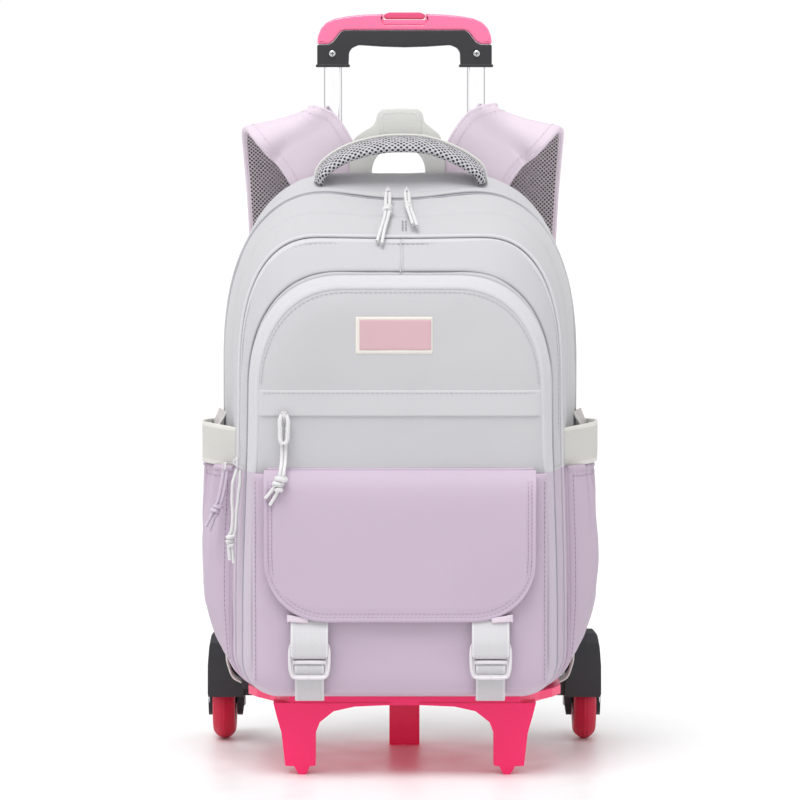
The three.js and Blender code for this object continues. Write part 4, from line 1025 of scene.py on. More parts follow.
def flap_edge(inset):
    """The flap's free edge, moved inwards by inset mm: down one side, round the corners, up the other."""
    xs = np.concatenate([np.full(24, -FL["half"]), np.linspace(-FL["half"], FL["half"], 220)[1:-1], np.full(24, FL["half"])])
    zz = np.concatenate([np.linspace(262, FL["z1"] + 52, 24, endpoint=False), np.zeros(218), np.linspace(FL["z1"] + 52, 262, 25)[1:]])
    over = np.maximum(0, np.abs(xs) - (FL["half"] - FL["corner"])) / FL["corner"]
    zb = FL["z1"] + 52 * (1 - np.sqrt(np.maximum(0, 1 - over ** 2.2)))
    zz[24:-24] = zb[24:-24]
    E, _ = spaced(np.stack([xs, zz], 1), step=1.5)
    T = unit(np.gradient(E, axis=0))
    E = E + np.stack([-T[:, 1], T[:, 0]], 1) * inset
    keep = (E[:, 1] < 258)
    E = E[keep]
    x, z = E[:, 0], E[:, 1]
    fall = FL["z0"] - z
    over = np.maximum(0, np.abs(x) - (FL["half"] - FL["corner"])) / FL["corner"]
    zb = FL["z1"] + 52 * (1 - np.sqrt(np.maximum(0, 1 - over ** 2.2)))
    v = np.clip((FL["z0"] - z) / (FL["z0"] - zb), 0, 1)
    y = -105.2 - (1 - np.exp(-fall / 7)) * 15.6 - 0.8 * np.sin(math.pi * v) - (1 - (x / FL["half"]) ** 2) * 0.6
    p = np.stack([x, y, z], -1)
    p[:, 1] -= smooth(0, 0.25, v) * (flap_soft(p) * 0.55 + 0.25) + 2.0 - smooth(0, 0.25, v) * 0.35
    return p, np.tile(A((0, -1, 0)), (len(p), 1))


stitches("stitching_flap", [flap_edge(3.6), flap_edge(6.6)], "thread_lav", 2.6, 1.0, 0.34, 0.12, slot="lavender_cloth")
# turned top edge of the flap where it is sewn to the panel
xs4 = np.linspace(-114, 114, 120)
tube("flap_top_fold", np.stack([xs4, front_y(xs4, np.full(120, 265.2)) - 1.0, np.full(120, 265.4)], 1), 1.5, "lav", k=8, up=(0, 1, 0), slot="lavender_cloth")

# ---------------------------------------------------------------- side pockets with a gathered, bound top
POUCH = A([(70, -9), (80, -2), (92, 3), (108, 9.4), (129, 16), (141, 19), (158, 20.4), (193, 21), (228, 17.8), (245, 16.3), (262, 15)])


def body_half(y, z):
    s = section(y)
    if z < s["zb"] + s["rb"]:
        d = (s["zb"] + s["rb"] - z) / s["rb"]
        return s["wb"] - s["rb"] + s["rb"] * math.sqrt(max(0, 1 - d * d))
    return float(side_width(s, z))


nu, nv = 110, 84
ug = np.linspace(0, 1, nu)
ug = 0.5 + 0.5 * np.sin((ug - 0.5) * math.pi) * 0.4 + (ug - 0.5) * 0.6
vg = np.linspace(0, 1, nv) ** 0.95
pouch_soft = {-1: waves(41, 10, 30, 90), 1: waves(42, 10, 30, 90)}
for side, tag in ((-1, "left"), (1, "right")):
    S = np.empty((nu, nv, 3))
    for j, v_ in enumerate(vg):
        z = 73 + 189 * v_
        b = np.interp(z, POUCH[:, 0], POUCH[:, 1])
        for i, u_ in enumerate(ug):
            y = -30 + 90 * u_
            a = abs(u_ - 0.5) * 2
            S[i, j] = (side * (body_half(y, z) + 3.4 + max(0, b - 3) * (1 - min(1, a) ** 3.2) ** 0.62), y, z)
    VVg = np.broadcast_to(vg[None, :], (nu, nv))
    UUg = np.broadcast_to(ug[:, None], (nu, nv))
    mid = 1 - np.abs(UUg - 0.5) ** 2 * 4
    gather = np.sin(UUg * TAU * 7.3 + 0.8 * np.sin(UUg * 9) + side) + 0.5 * np.sin(UUg * TAU * 12.1 + 2)
    depth = (1.9 * smooth(0.6, 0.93, VVg) + 0.4 * smooth(0.2, 0.6, VVg)) * np.clip(mid, 0, 1) ** 0.5
    long_fold = (2.2 * gauss(UUg, 0.20 + 0.08 * VVg, 0.035) * smooth(0.05, 0.5, VVg) - 2.2 * gauss(UUg, 0.27 + 0.07 * VVg, 0.03) * smooth(0.1, 0.6, VVg)
                 + 1.6 * gauss(UUg, 0.42 - 0.05 * VVg, 0.05) * smooth(0.0, 0.7, VVg) - 1.4 * gauss(UUg, 0.62 - 0.04 * VVg, 0.04) * smooth(0.15, 0.7, VVg))
    S[:, :, 0] += side * (gather * depth + long_fold * np.clip(mid, 0, 1) + pouch_soft[side](S) * 0.9 * np.clip(mid, 0, 1) - 0.4)
    N = normals(S)
    if (N[:, :, 0] * side).mean() < 0:
        N = -N
    s_ = np.concatenate([[0], np.cumsum(np.linalg.norm(np.diff(S[:, nv // 2], axis=0), axis=1))])
    U = np.stack(np.broadcast_arrays(s_[:, None], S[0, :, 2][None, :]), -1)
    slab("side_pocket_" + tag, S + N * 1.4, N, 2.0, "lav", U, rep=("side_pocket_" + tag,), slot="lavender_cloth")
    # elastic binding along the pocket's top edge
    top_edge = S[:, -1] + N[:, -1] * 0.4
    tube("pocket_binding_" + tag, top_edge + A((0, 0, -2.6)), 2.0, "lav", k=10, squash=1.5, up=(0, 0, 1), slot="lavender_cloth")
    st = []
    for vv in (0.955,):
        j = int(vv * (nv - 1))
        st.append((S[3:-3, j] + N[3:-3, j] * 1.55, N[3:-3, j]))
    for i in (3, nu - 4):
        st.append((S[i, 8:-3] + N[i, 8:-3] * 1.55, N[i, 8:-3]))
    stitches("stitching_side_pocket_" + tag, st, "thread_lav", slot="lavender_cloth")
    # sewn border where the pocket joins the body, front and back
    for i, yy_ in ((0, -30), (nu - 1, 60)):
        line = np.stack([np.array([side * (body_half(yy_, z) + 1.7) for z in S[i, :, 2]]), np.full(nv, float(yy_)), S[i, :, 2]], 1)
        tube("pocket_seam_%s_%s" % (tag, "front" if i == 0 else "back"), line, 1.6, "lav", k=8, squash=1.3, up=(side, 0, 0), slot="lavender_cloth")

# ---------------------------------------------------------------- straps and buckles on the front
def sm_(a, b, v):
    return float(smooth(a, b, v))


for side, tag in ((-1, "left"), (1, "right")):
    cx = side * 77.0
    rows = [(cx, -119.4, 139.2, 1, 0, 0), (cx, -121.8, 132.5, 1, 0, 0), (cx, -125.0, 126, 1, 0, 0), (cx, -127.1, 119.6, 1, 0, 0), (cx, -127.6, 113, 1, 0, 0), (cx, -127.2, 107.9, 1, 0, 0), (cx, -124.6, 106.4, 1, 0, 0)]
    ribbon("flap_strap_" + tag, rows, lambda t: 32 - 5.2 * sm_(0.8, 0.93, t), 1.8, "web_front", 0.8, 13, rep=("flap_strap_" + tag,), slot="webbing")
    ribbon("base_strap_" + tag, [(cx, -121.4, 105.5, 1, 0, 0), (cx, -121.6, 96, 1, 0, 0), (cx, -121, 84, 1, 0, 0), (cx, -118.2, 75, 1, 0, 0), (cx, -112, 69.3, 1, 0, 0), (cx, -103, 69.2, 1, 0, 0)],
           25, 1.8, "web_base", 1.2, 9, rep=("base_strap_" + tag,), slot="webbing")
    # webbing turned round the buckle's middle bar
    ribbon("strap_turn_" + tag, [(cx, -121.6, 101.6, 1, 0, 0), (cx, -124.4, 100.8, 1, 0, 0), (cx, -125.9, 99.0, 1, 0, 0), (cx, -125.9, 95.2, 1, 0, 0), (cx, -124.6, 93.4, 1, 0, 0), (cx, -121.8, 92.8, 1, 0, 0)],
           25.6, 1.5, "web_base", 0.7, 9, slot="webbing")
    out = rounded([(cx - 15.6, 119.4), (cx - 17.4, 117), (cx - 18, 112), (cx - 17.6, 98), (cx - 14.6, 88.4), (cx + 14.6, 88.4), (cx + 17.6, 98), (cx + 18, 112), (cx + 17.4, 117), (cx + 15.6, 119.4)], 3.4, 6)
    h1 = rounded(rect(cx - 13.6, cx + 13.6, 104.6, 108.2), 1.2, 3)
    h2 = rounded([(cx - 12.8, 92.6), (cx + 12.8, 92.6), (cx + 13.4, 101.4), (cx - 13.4, 101.4)], 1.8, 3)
    plate("buckle_" + tag, out, [h1, h2], -125.8, -122.6, "pale", 1.0, 4, rep=("buckle_" + tag,), slot="pale_plastic")
    for e in (-1, 1):
        rail = catmull([(cx + e * 16.6, -125.6, 116.5), (cx + e * 16.9, -126.5, 110), (cx + e * 16.7, -126.7, 101), (cx + e * 15.9, -126.6, 95), (cx + e * 14.0, -126.4, 90.8), (cx + e * 10.5, -126.3, 89.9), (cx, -126.3, 89.7)], np.linspace(0, 1, 60))
        tube("buckle_rail_%s_%s" % (tag, "in" if e * side < 0 else "out"), rail, np.interp(np.linspace(0, 1, 60), [0, .1, .6, 1], [0.7, 1.25, 1.4, 1.5]), "pale", k=12, up=(0, 1, 0), slot="pale_plastic")
    tube("buckle_bar_" + tag, [(cx - 14.2, -125.7, 103.0), (cx - 9, -126.0, 103.1), (cx, -126.1, 103.2), (cx + 9, -126.0, 103.1), (cx + 14.2, -125.7, 103.0)], 1.75, "pale", k=14, squash=0.8, up=(0, 1, 0), slot="pale_plastic")
    # lilac tape sewn round the strap's root, showing as a folded corner beside the flap's edge
    ribbon("strap_root_" + tag, [(cx + side * 17.6, -117.6, 139.5, 0, 0, 1), (cx + side * 18.4, -119.4, 140, 0, 0, 1), (cx + side * 17.4, -121.4, 140.2, 0, 0, 1), (cx + side * 13, -122.2, 139.6, 0, 0, 1), (cx + side * 6, -122.3, 138.8, 0, 0, 1), (cx + side * 1, -121.9, 138.0, 0, 0, 1)],
           lambda t: 7.5 - 3.5 * t, 1.5, "lav_strap", 0.7, 7, slot="webbing")

# ---------------------------------------------------------------- compression straps round the sides
SIDE = [(148.6, -22, 279), (159, -15, 280), (169.5, -2, 281), (173, 13, 281.5), (171, 31, 281.5), (160.4, 50, 281)]
for side, tag in ((-1, "left"), (1, "right")):
    rows = [(side * 142.5, -27.5, 278.6, 0, 0, 1)] + [(side * x, y, z, 0, 0, 1) for x, y, z in SIDE] + [(side * 153.8, 57, 280.8, 0, 0, 1)]
    ribbon("side_strap_" + tag, rows, lambda t: 34 + 2.0 * math.sin(t * 3.1), 1.9, "ivory", 1.5, 13, rep=("side_strap_" + tag,), slot="webbing",
           lift=lambda q, a: 0.5 * np.sin(q / 9.0) * (a / 16) ** 2)
    ribbon("side_strap_under_" + tag, [(side * (x - 3.4), y, z - 0.5, 0, 0, 1) for x, y, z in SIDE[1:-1]], 31, 1.8, "ivory", 1.8, 9, slot="webbing")
    # loose end standing up behind the band
    tail = [(side * 163.5, 24, 284, 0.1 * side, 1, 0), (side * 162.5, 24, 291, 0.2 * side, 1, 0), (side * 160.4, 24.5, 298, 0.3 * side, 1, 0.1), (side * 157.6, 25, 303.6, 0.36 * side, 1, 0.15), (side * 156.2, 25, 307.4, 0.36 * side, 1, 0.2)]
    ribbon("side_strap_tail_" + tag, tail, 20, 1.9, "ivory20", 1.0, 9, slot="webbing")

# ---------------------------------------------------------------- carry handle
HANDLE = [(-68, 516.5), (-59, 525), (-43, 533.5), (-17, 540), (4, 541.2), (24, 539.6), (48, 531), (62, 523), (69.5, 516.5)]
rows = [(x, 50, z, 0, 0.93, 0.37) for x, z in [(-72.0, 506.5)] + HANDLE + [(73.2, 506.5)]]


def pits(u, v, pitch=2.9, deep=0.55):
    k = 1 / (pitch * math.sqrt(2))
    a, b = (u + v) * k, (u - v) * k
    d = np.hypot(a - np.round(a), b - np.round(b))
    return -deep * (1 - smooth(0.16, 0.36, d))


C, W, N, q, tt = frames_of(rows, 150)
na = 66
ang = np.linspace(0, TAU, na, endpoint=False)
wd, th = 30 - 2.2, 8.6 - 0.6
rings_, uvs_ = [], []
for i in range(len(q)):
    f = min(1.0, 0.74 + 0.26 * math.sin(min(1, min(tt[i], 1 - tt[i]) * 7) * math.pi / 2))
    ca, sa = np.cos(ang), np.sin(ang)
    a = wd / 2 * np.sign(ca) * np.abs(ca) ** 0.72 * f
    b = th / 2 * np.sign(sa) * np.abs(sa) ** 0.8 * (0.9 + 0.1 * f) * 1.08
    s_ = np.concatenate([[0], np.cumsum(np.hypot(np.diff(a), np.diff(b)))])
    o = pits(s_, q[i])
    nn = unit(np.stack([np.cos(ang) / wd, np.sin(ang) / th], 1))
    a2, b2 = a + nn[:, 0] * o, b + nn[:, 1] * o
    rings_.append(C[i] + a2[:, None] * W[i] + b2[:, None] * N[i])
    uvs_.append(np.stack([s_, np.full(na, q[i])], 1))
V = np.vstack(rings_ + [C[:1], C[-1:]])
U = np.vstack(uvs_ + [[[0, 0], [0, 0]]])
K_ = len(q)
F = quads(K_, na, wj=True).tolist() + [[K_ * na, j, (j + 1) % na] for j in range(na)] + [[K_ * na + 1, (K_ - 1) * na + (j + 1) % na, (K_ - 1) * na + j] for j in range(na)]
handle_ob = make("grab_handle", V, F, "mesh", uv=U, rep=("grab_handle",), slot="spacer_mesh")
# ivory piping along the handle's upper back edge
up = np.sign(N[75, 2])
edge_path = np.stack([C[i] + N[i] * up * (th / 2 - 0.6) + W[i] * 13.0 for i in range(0, 150, 3)])
tube("handle_edge", edge_path, 1.5, "loop", k=12, slot="webbing")

# ---------------------------------------------------------------- hang loop behind the handle
LOOP_OUT = [(-45, 503), (-45, 528), (-42, 546), (-33, 552.5), (-22.5, 558.5), (-20, 569), (-16, 572.4), (0, 573.2), (16.5, 572.6), (20, 569), (21.5, 561), (29, 555), (36, 549.5), (40, 530), (40, 503)]
LOOP_IN = [(-25, 503), (-25, 522), (-20, 532), (-8, 537.5), (8, 537.5), (18, 532), (22.5, 522), (22.5, 503)]
lo_ = rounded(LOOP_OUT + LOOP_IN[::-1], 5.0, 5)
plate("rear_loop", lo_, [], 76.2, 78.6, "loop", 0.8, 3, rep=("rear_loop",), slot="webbing")
tabp = rounded([(-18.6, 549), (-19.2, 566), (-15.6, 571.6), (0, 572.4), (16, 571.6), (19.4, 566), (19.6, 549)], 3.0, 4)
plate("rear_loop_tab", tabp, [], 75.4, 76.6, "loop", 0.5, 3, slot="webbing")
sl = []
for pts in ([(-15.6, 551), (-16.2, 565), (-13.6, 568.8), (0, 569.6), (14, 568.8), (16.4, 565), (16.6, 551)],):
    s2, _ = spaced(A(pts), step=1.2)
    sl.append((np.stack([s2[:, 0], np.full(len(s2), 75.3), s2[:, 1]], 1), np.tile(A((0, -1, 0)), (len(s2), 1))))
stitches("stitching_loop", sl, "thread_white", 2.4, 1.0, 0.3, slot="webbing")

# ---------------------------------------------------------------- back pad: quilted spacer mesh with channels
nu, nv = 156, 200
ug = np.linspace(0, 1, nu)
vg = np.linspace(0, 1, nv)
S = np.empty((nu, nv, 3))
B = np.empty((nu, nv, 3))
s76 = section(76)
for j, v_ in enumerate(vg):
    z = 92 + 370 * v_
    w = float(side_width(s76, min(z, 340))) - 24 - 34 * float(smooth(330, 470, z))
    x = (ug - 0.5) * 2 * w
    e = np.minimum(np.minimum((1 - np.abs(ug - 0.5) * 2) * 8, min(v_ * 10, (1 - v_) * 10)), 1)
    h = 6.4 * np.sqrt(np.maximum(0, e * (2 - e)))
    chan = 3.6 * np.exp(-((x / 7.0) ** 2)) + sum(3.0 * np.exp(-(((z - c - 0.10 * np.abs(x)) / 5.0) ** 2)) for c in (165, 250, 335, 412))
    h = np.maximum(h - np.minimum(chan, 4.2) * np.clip(e, 0, 1), 0.0) + 0.5 * np.clip(e, 0, 1)
    S[:, j] = np.stack([x, 77.4 + h, np.full(nu, z)], 1)
    B[:, j] = np.stack([x, np.full(nu, 76.5), np.full(nu, z)], 1)
pit = pits(S[:, :, 0], S[:, :, 2], 2.9, 0.35)
S[:, :, 1] += pit * smooth(77.8, 80, S[:, :, 1])
V = np.concatenate([S.reshape(-1, 3), B.reshape(-1, 3)])
k_ = nu * nv
loop_ids = [i * nv for i in range(nu)] + [(nu - 1) * nv + j for j in range(1, nv)] + [i * nv + nv - 1 for i in range(nu - 2, -1, -1)] + [j for j in range(nv - 2, 0, -1)]
F = np.vstack([quads(nu, nv), quads(nu, nv, base=k_)[:, ::-1], np.array([[a, a + k_, b + k_, b] for a, b in zip(loop_ids, loop_ids[1:] + loop_ids[:1])])])
pad_ob = make("back_pad", V, F, "mesh_dark", uv=V[:, [0, 2]], rep=("back_pad",), slot="spacer_mesh")
edge_line = np.stack([S.reshape(-1, 3)[i] for i in loop_ids])
edge_line, _ = spaced(edge_line, step=4.0, closed=True)
edge_line[:, 1] = 77.8
tube("back_pad_binding", edge_line, 1.9, "grey", k=10, closed=True, up=(0, 1, 0), slot="shell_cloth")

# ---------------------------------------------------------------- shoulder straps
SHOULDER = [
    (66, 81.3, 502, .985, 0, -.17), (74, 81.3, 521, .95, 0, -.28), (88, 81.2, 543, .94, 0, -.33), (100.5, 81.8, 555, .955, 0, -.28),
    (108.5, 94, 560.3, .965, 0, -.24), (111.5, 108, 555, .975, 0, -.21), (111, 119, 536, .985, 0, -.15), (109, 125, 500, 1, 0, -.05),
    (107, 127, 440, 1, 0, 0), (107, 125, 370, 1, 0, .02), (110, 120, 300, 1, 0, .04), (118, 113, 238, .98, 0, .12)]
WEBBING = [
    (121, 110.5, 229, 1, 0, .1), (129, 101, 195, 1, 0, .15), (136.5, 91, 162, .98, -.05, .2), (144, 82.5, 134, .9, -.3, .2),
    (151.5, 77.6, 110, .6, -.8, .1), (154.8, 75, 92, .1, -.99, 0), (154.4, 74.8, 76, 0, -1, 0), (149.5, 74.8, 64, 0, -1, 0), (142, 74.8, 59.4, 0, -1, 0)]
sm = lambda a, b, v: float(smooth(a, b, v))
neck = lambda t: 4 + 6 * sm(0, 0.12, t) - 10 * sm(0.17, 0.265, t)
s_width = lambda t: 56 + 6 * math.sin(math.pi * min(1, t * 1.25)) - 14 * sm(0.8, 1, t) + neck(t)
s_thick = lambda t: 4.6 + 2.9 * sm(0.2, 0.36, t)
strap_soft = {-1: waves(51, 8, 50, 120), 1: waves(52, 8, 50, 120)}
for side, tag in ((-1, "left"), (1, "right")):
    rows = []
    for i, (x, y, z, wx, wy, wz) in enumerate(SHOULDER):
        xx = x + (5 * sm(1, 4, i) * (1 - sm(9, 11, i)) if side > 0 else 0)
        rows.append((side * xx, y, z, wx, side * wy, side * wz))
    core = ribbon("shoulder_strap_" + tag, rows, lambda t: s_width(t) - 2.4, lambda t: s_thick(t) - 1.5, "lav_strap", 2.6, 15, crown=lambda t: 0.55, edge=4, lean=lambda t: -side * neck(t) / 2,
                  rep=("shoulder_strap_" + tag,), slot="lavender_cloth")
    K_ = 470
    C, W, N, q, tt = frames_of(rows, K_)
    C = C - W * A([side * neck(t) / 2 for t in tt])[:, None]
    # spacer mesh on the wearer's side
    na = 58
    G = np.empty((K_, na, 3))
    UV = np.empty((K_, na, 2))
    for i in range(K_):
        hw = (s_width(tt[i]) - 8.5 - 12 * math.exp(-((tt[i] - 0.3) / 0.1) ** 2)) / 2
        a = np.linspace(-hw, hw, na)
        rise_ = (s_thick(tt[i]) - 1.5) / 2 + 0.55 * (1 - (a / (s_width(tt[i]) / 2)) ** 2) + 0.28
        G[i] = C[i] + a[:, None] * W[i] + (rise_ + pits(a, q[i], 2.7, 0.4))[:, None] * N[i]
        UV[i] = np.stack([a, np.full(na, q[i])], 1)
    slab("strap_mesh_" + tag, G, np.broadcast_to(N[:, None, :], G.shape), 0.9, "mesh_dark", UV, slot="spacer_mesh")
    # bound edges
    for e in (-1, 1):
        path, rad = [], []
        for i in range(0, K_, 6):
            path.append(C[i] + W[i] * e * (s_width(tt[i]) / 2 - s_thick(tt[i]) * 0.36))
            rad.append(s_thick(tt[i]) * 0.37)
        tube("strap_edge_%s_%s" % (tag, "out" if e * side > 0 else "in"), path, np.array(rad), "lav_strap", k=12, slot="lavender_cloth")
    st = []
    for e in (-1, 1):
        pts = np.stack([C[i] + W[i] * e * (s_width(tt[i]) / 2 - 8.5) - N[i] * (s_thick(tt[i]) / 2 + 0.0) for i in range(0, K_, 4)])
        st.append((pts, -N[0:K_:4]))
    stitches("stitching_shoulder_" + tag, st, "lav_strap", 3.0, 1.3, 0.3, 0.0, slot="lavender_cloth")
    # adjuster keeper at the strap's lower end, then the webbing down to the base
    wrows = [(side * x, y, z, wx, side * wy, side * wz) for x, y, z, wx, wy, wz in WEBBING]
    ribbon("lower_webbing_" + tag, wrows, 20, 1.8, "ivory20", 1.8, 9, rep=("lower_webbing_" + tag,), slot="webbing")
    e_c = C[-1]
    ribbon("strap_end_patch_" + tag, [(*(C[-34] - N[-34] * 3.9), *W[-34]), (*(C[-20] - N[-20] * 3.9), *W[-20]), (*(C[-6] - N[-6] * 3.4), *W[-6]), (*(C[-1] - N[-1] * 2.0), *W[-1])], 26, 1.4, "ivory20", 1.5, 9, slot="webbing")

# ---------------------------------------------------------------- zip sliders
def slider(name, at, along, out, size, mat="pale", rep=()):
    a, o = unit(A(along)), unit(A(out))
    b = np.cross(a, o)
    t = np.linspace(0, 1, 15)
    prof = np.interp(t, [0, .12, .45, .7, 1], [0.35, 1.0, 0.82, 0.95, 0.45])
    k = 14
    ang = np.linspace(0, TAU, k, endpoint=False)
    V = []
    for ti, w in zip(t, prof):
        ca, sa = np.cos(ang), np.sin(ang)
        V.append(A(at) + a * (ti - 0.5) * size * 2.2 + (np.sign(ca) * np.abs(ca) ** 0.6 * w * size * 0.62)[:, None] * b + (np.sign(sa) * np.abs(sa) ** 0.7 * size * 0.34)[:, None] * o)
    F = quads(15, k, wj=True).tolist() + [list(range(k))[::-1], [14 * k + j for j in range(k)]]
    V = np.vstack(V)
    ob = make(name, V, F, mat, uv=V[:, [0, 2]], rep=rep, slot="pale_plastic")
    br = catmull([A(at) - a * size * 0.6 + o * size * 0.3, A(at) - a * size * 0.25 + o * size * 0.75, A(at) + a * size * 0.35 + o * size * 0.75, A(at) + a * size * 0.7 + o * size * 0.3], np.linspace(0, 1, 24))
    tube(name + "_bridge", br, size * 0.16, mat, k=8, slot="pale_plastic")
    return ob


slider("zip_slider_welt", (-98.6, -107.4, 311.0), (0, 0.05, -1), (0, -1, 0), 4.6, rep=("zip_slider_welt",))
for e in (-1, 1):
    tube("puller_welt_%s" % ("a" if e < 0 else "b"), catmull([(-98.6 + e * 1.6, -109.6, 313.0), (-98.6 + e * 3.4, -110.6, 308), (-98.6 + e * 3.3, -111.0, 300), (-98.7 + e * 3.0, -111.2, 292), (-98.8 + e * 1.6, -111.4, 288.6), (-98.8, -111.5, 288.0)], np.linspace(0, 1, 40)), 1.9, "cord", k=12, up=(0, 1, 0), slot="pale_plastic")
slider("zip_slider_front", (-139.6, -80, 269.8), (0.1, 0, -1), (-1, 0, 0.05), 3.9, rep=("zip_slider_front",))
slider("zip_slider_top_left", (-10.5, 26.5, 500.4), (0, -1, -0.25), (0, -0.2, 1), 4.0)
slider("zip_slider_top_right", (5.8, 26.5, 500.4), (0, -1, -0.25), (0, -0.2, 1), 4.0)
slider("zip_slider_side", (-151.6, -34.5, 262.6), (0, -0.2, -1), (-1, -0.2, 0), 3.2, "pale")
zt = []
for k_ in range(7):
    y_ = -19 - k_ * 2.6
    s_ = section(y_)
    for xo in (2.4, 5.2):
        zt.append((np.array([(xo - 0.9, y_, s_["zt"] - s_["dip"] + 1.1), (xo + 0.9, y_, s_["zt"] - s_["dip"] + 1.1)]), np.tile(A((0, 0, 1)), (2, 1))))
stitches("zip_end_teeth", zt, "zip", 1.7, 0.1, 0.5, 0.35, slot="pale_plastic")

# ---------------------------------------------------------------- trolley: grip
CORE = [(-78, 611.2), (-76.5, 610.4), (-51.5, 610.4), (-50, 611.2), (-49.6, 623), (-47, 627), (-41, 629.6), (-20, 628.2), (0, 627.6), (20, 628.2), (41, 629.6), (47, 627), (49.6, 623), (50, 611.2), (51.5, 610.4), (76.5, 610.4), (78, 611.2),
        (78, 629.8), (68, 629.8), (63.6, 632), (57, 640.6), (53.6, 642.4), (-53.6, 642.4), (-57, 640.6), (-63.6, 632), (-68, 629.8), (-78, 629.8)]
TOP = [(-78, 630.3), (-68.2, 630.3), (-63.9, 632.6), (-57.4, 641.1), (-53.8, 642.8), (53.8, 642.8), (57.4, 641.1), (63.9, 632.6), (68.2, 630.3), (78, 630.3), (77.4, 637), (74.5, 644.4), (69.5, 649.6), (62, 653), (50, 655.2), (35.6, 656.6), (19.5, 657.2),
       (18.8, 657.25), (18.7, 648.3), (-18.7, 648.3), (-18.8, 657.25), (-19.5, 657.2), (-35.6, 656.6), (-50, 655.2), (-62, 653), (-69.5, 649.6), (-74.5, 644.4), (-77.4, 637)]
hb = dict(body="handle", bag=False)
plate("grip_core", rounded(CORE, 1.6, 3), [], 86, 108, "black", 1.5, 4, rep=("grip_core",), slot="black_plastic", **hb)
plate("grip_top", rounded(TOP, 2.0, 4), [], 85.2, 108.8, "grip", 2.4, 6, rep=("grip_top",), slot="grip_pink", **hb)
for lip, y0_, y1_ in (("front", 85.3, 88.0), ("back", 106.0, 108.7)):
    plate("grip_lip_" + lip, rect(-18.9, 18.9, 648.0, 652.0), [], y0_, y1_, "grip", 0.3, 2, slot="grip_pink", **hb)
plate("grip_button", rounded([(-18.4, 654), (-16.6, 652.8), (16.6, 652.8), (18.4, 654), (18.4, 656.6), (14, 658.6), (-14, 658.6), (-18.4, 656.6)], 1.0, 3), [], 88.4, 105.6, "button", 0.9, 4, body="button", bag=False, rep=("grip_button",), slot="grip_pink")
for k_ in range(5):
    x_ = -10 + k_ * 5
    tube("button_rib_%d" % k_, [(x_, 92, 658.1), (x_, 95, 658.3), (x_, 99, 658.3), (x_, 102, 658.1)], 0.5, "button", k=6, body="button", bag=False, slot="grip_pink")
for side, tag in ((-1, "left"), (1, "right")):
    lathe("screw_" + tag, [(0.05, -0.85), (2.2, -0.85), (2.8, -0.4), (2.8, 0.7), (0.05, 0.7)], 32, "steel", "Y", (side * 64.4, 84.9, 621.8), rep=("screw_" + tag,), slot="steel", **hb)
    # a thin dark cross plate on each screw head: painted shade standing in for the recessed slot
    plate("screw_slot_shade_" + tag, [(side * 64.4 + a_, 621.8 + b_) for a_, b_ in ((-1.7, -.35), (-.35, -.35), (-.35, -1.7), (.35, -1.7), (.35, -.35), (1.7, -.35), (1.7, .35), (.35, .35), (.35, 1.7), (-.35, 1.7), (-.35, .35), (-1.7, .35))], [], 83.85, 84.35, "dark", 0.05, 1, slot="steel", **hb)
    plate("grip_foot_" + tag, rounded(rect(side * 64 - 15.2, side * 64 + 15.2, 609.9, 612.2), 0.8, 3), [], 85.4, 108.6, "black", 0.7, 3, slot="black_plastic", **hb)

# ---------------------------------------------------------------- telescopic tubes
for side, tag in ((-1, "left"), (1, "right")):
    at = (side * 64, 97, 0)
    def pipe_profile(r0, r1, z0, z1, c=0.4):
        return [(r0, z0 + c), (r0 + c, z0), (r1 - c, z0), (r1, z0 + c), (r1, z1 - c), (r1 - c, z1), (r0 + c, z1), (r0, z1 - c)]
    lathe("outer_tube_" + tag, pipe_profile(9.9, 11, 65.2, 494), 64, "alu", "Z", at, bag=False, rep=("outer_tube_" + tag,), slot="aluminium")
    lathe("mid_tube_" + tag, pipe_profile(8.35, 9.5, 82, 497.5), 64, "alu", "Z", at, bag=False, body="mid_stage", rep=("mid_tube_" + tag,), slot="aluminium")
    lathe("handle_rod_" + tag, pipe_profile(6.8, 8, 190, 610.1, 0.3), 64, "alu", "Z", at, bag=False, body="handle", rep=("handle_rod_" + tag,), slot="aluminium")
    lathe("tube_collar_" + tag, [(11.15, 470.2), (12.6, 470.2), (13.6, 469.4), (13.6, 466.6), (12.8, 465.8), (11.15, 465.8)], 64, "black", "Z", at, bag=False, slot="black_plastic")
    lathe("stage_collar_" + tag, [(8.25, 497.5), (9.3, 497.5), (9.3, 498.2), (8.9, 498.6), (8.25, 498.6)], 64, "black", "Z", at, bag=False, body="mid_stage", slot="black_plastic")

# CAD nodes whose shapes are right keep them, with finer edges and materials
def finish_node(node, mat, width=0.0008, seg=3):
    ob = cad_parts[node]
    for s in ob.material_slots:
        s.material = M[mat]
    if not ob.material_slots:
        ob.data.materials.append(M[mat])
    b = ob.modifiers.new("edges", "BEVEL")
    b.width, b.segments, b.limit_method, b.angle_limit = width, seg, "ANGLE", math.radians(40)
    b.harden_normals = False
    b.use_clamp_overlap = True
    w = ob.modifiers.new("normals", "WEIGHTED_NORMAL")
    w.keep_sharp = True
    return ob


finish_node("trolley_base", "base", 0.0012)
finish_node("top_bracket", "black", 0.0012)
finish_node("ladder_lock_left", "black", 0.0006)
finish_node("ladder_lock_right", "black", 0.0006)
finish_node("wheel_fork_left", "black", 0.0009)
finish_node("wheel_fork_right", "black", 0.0009)
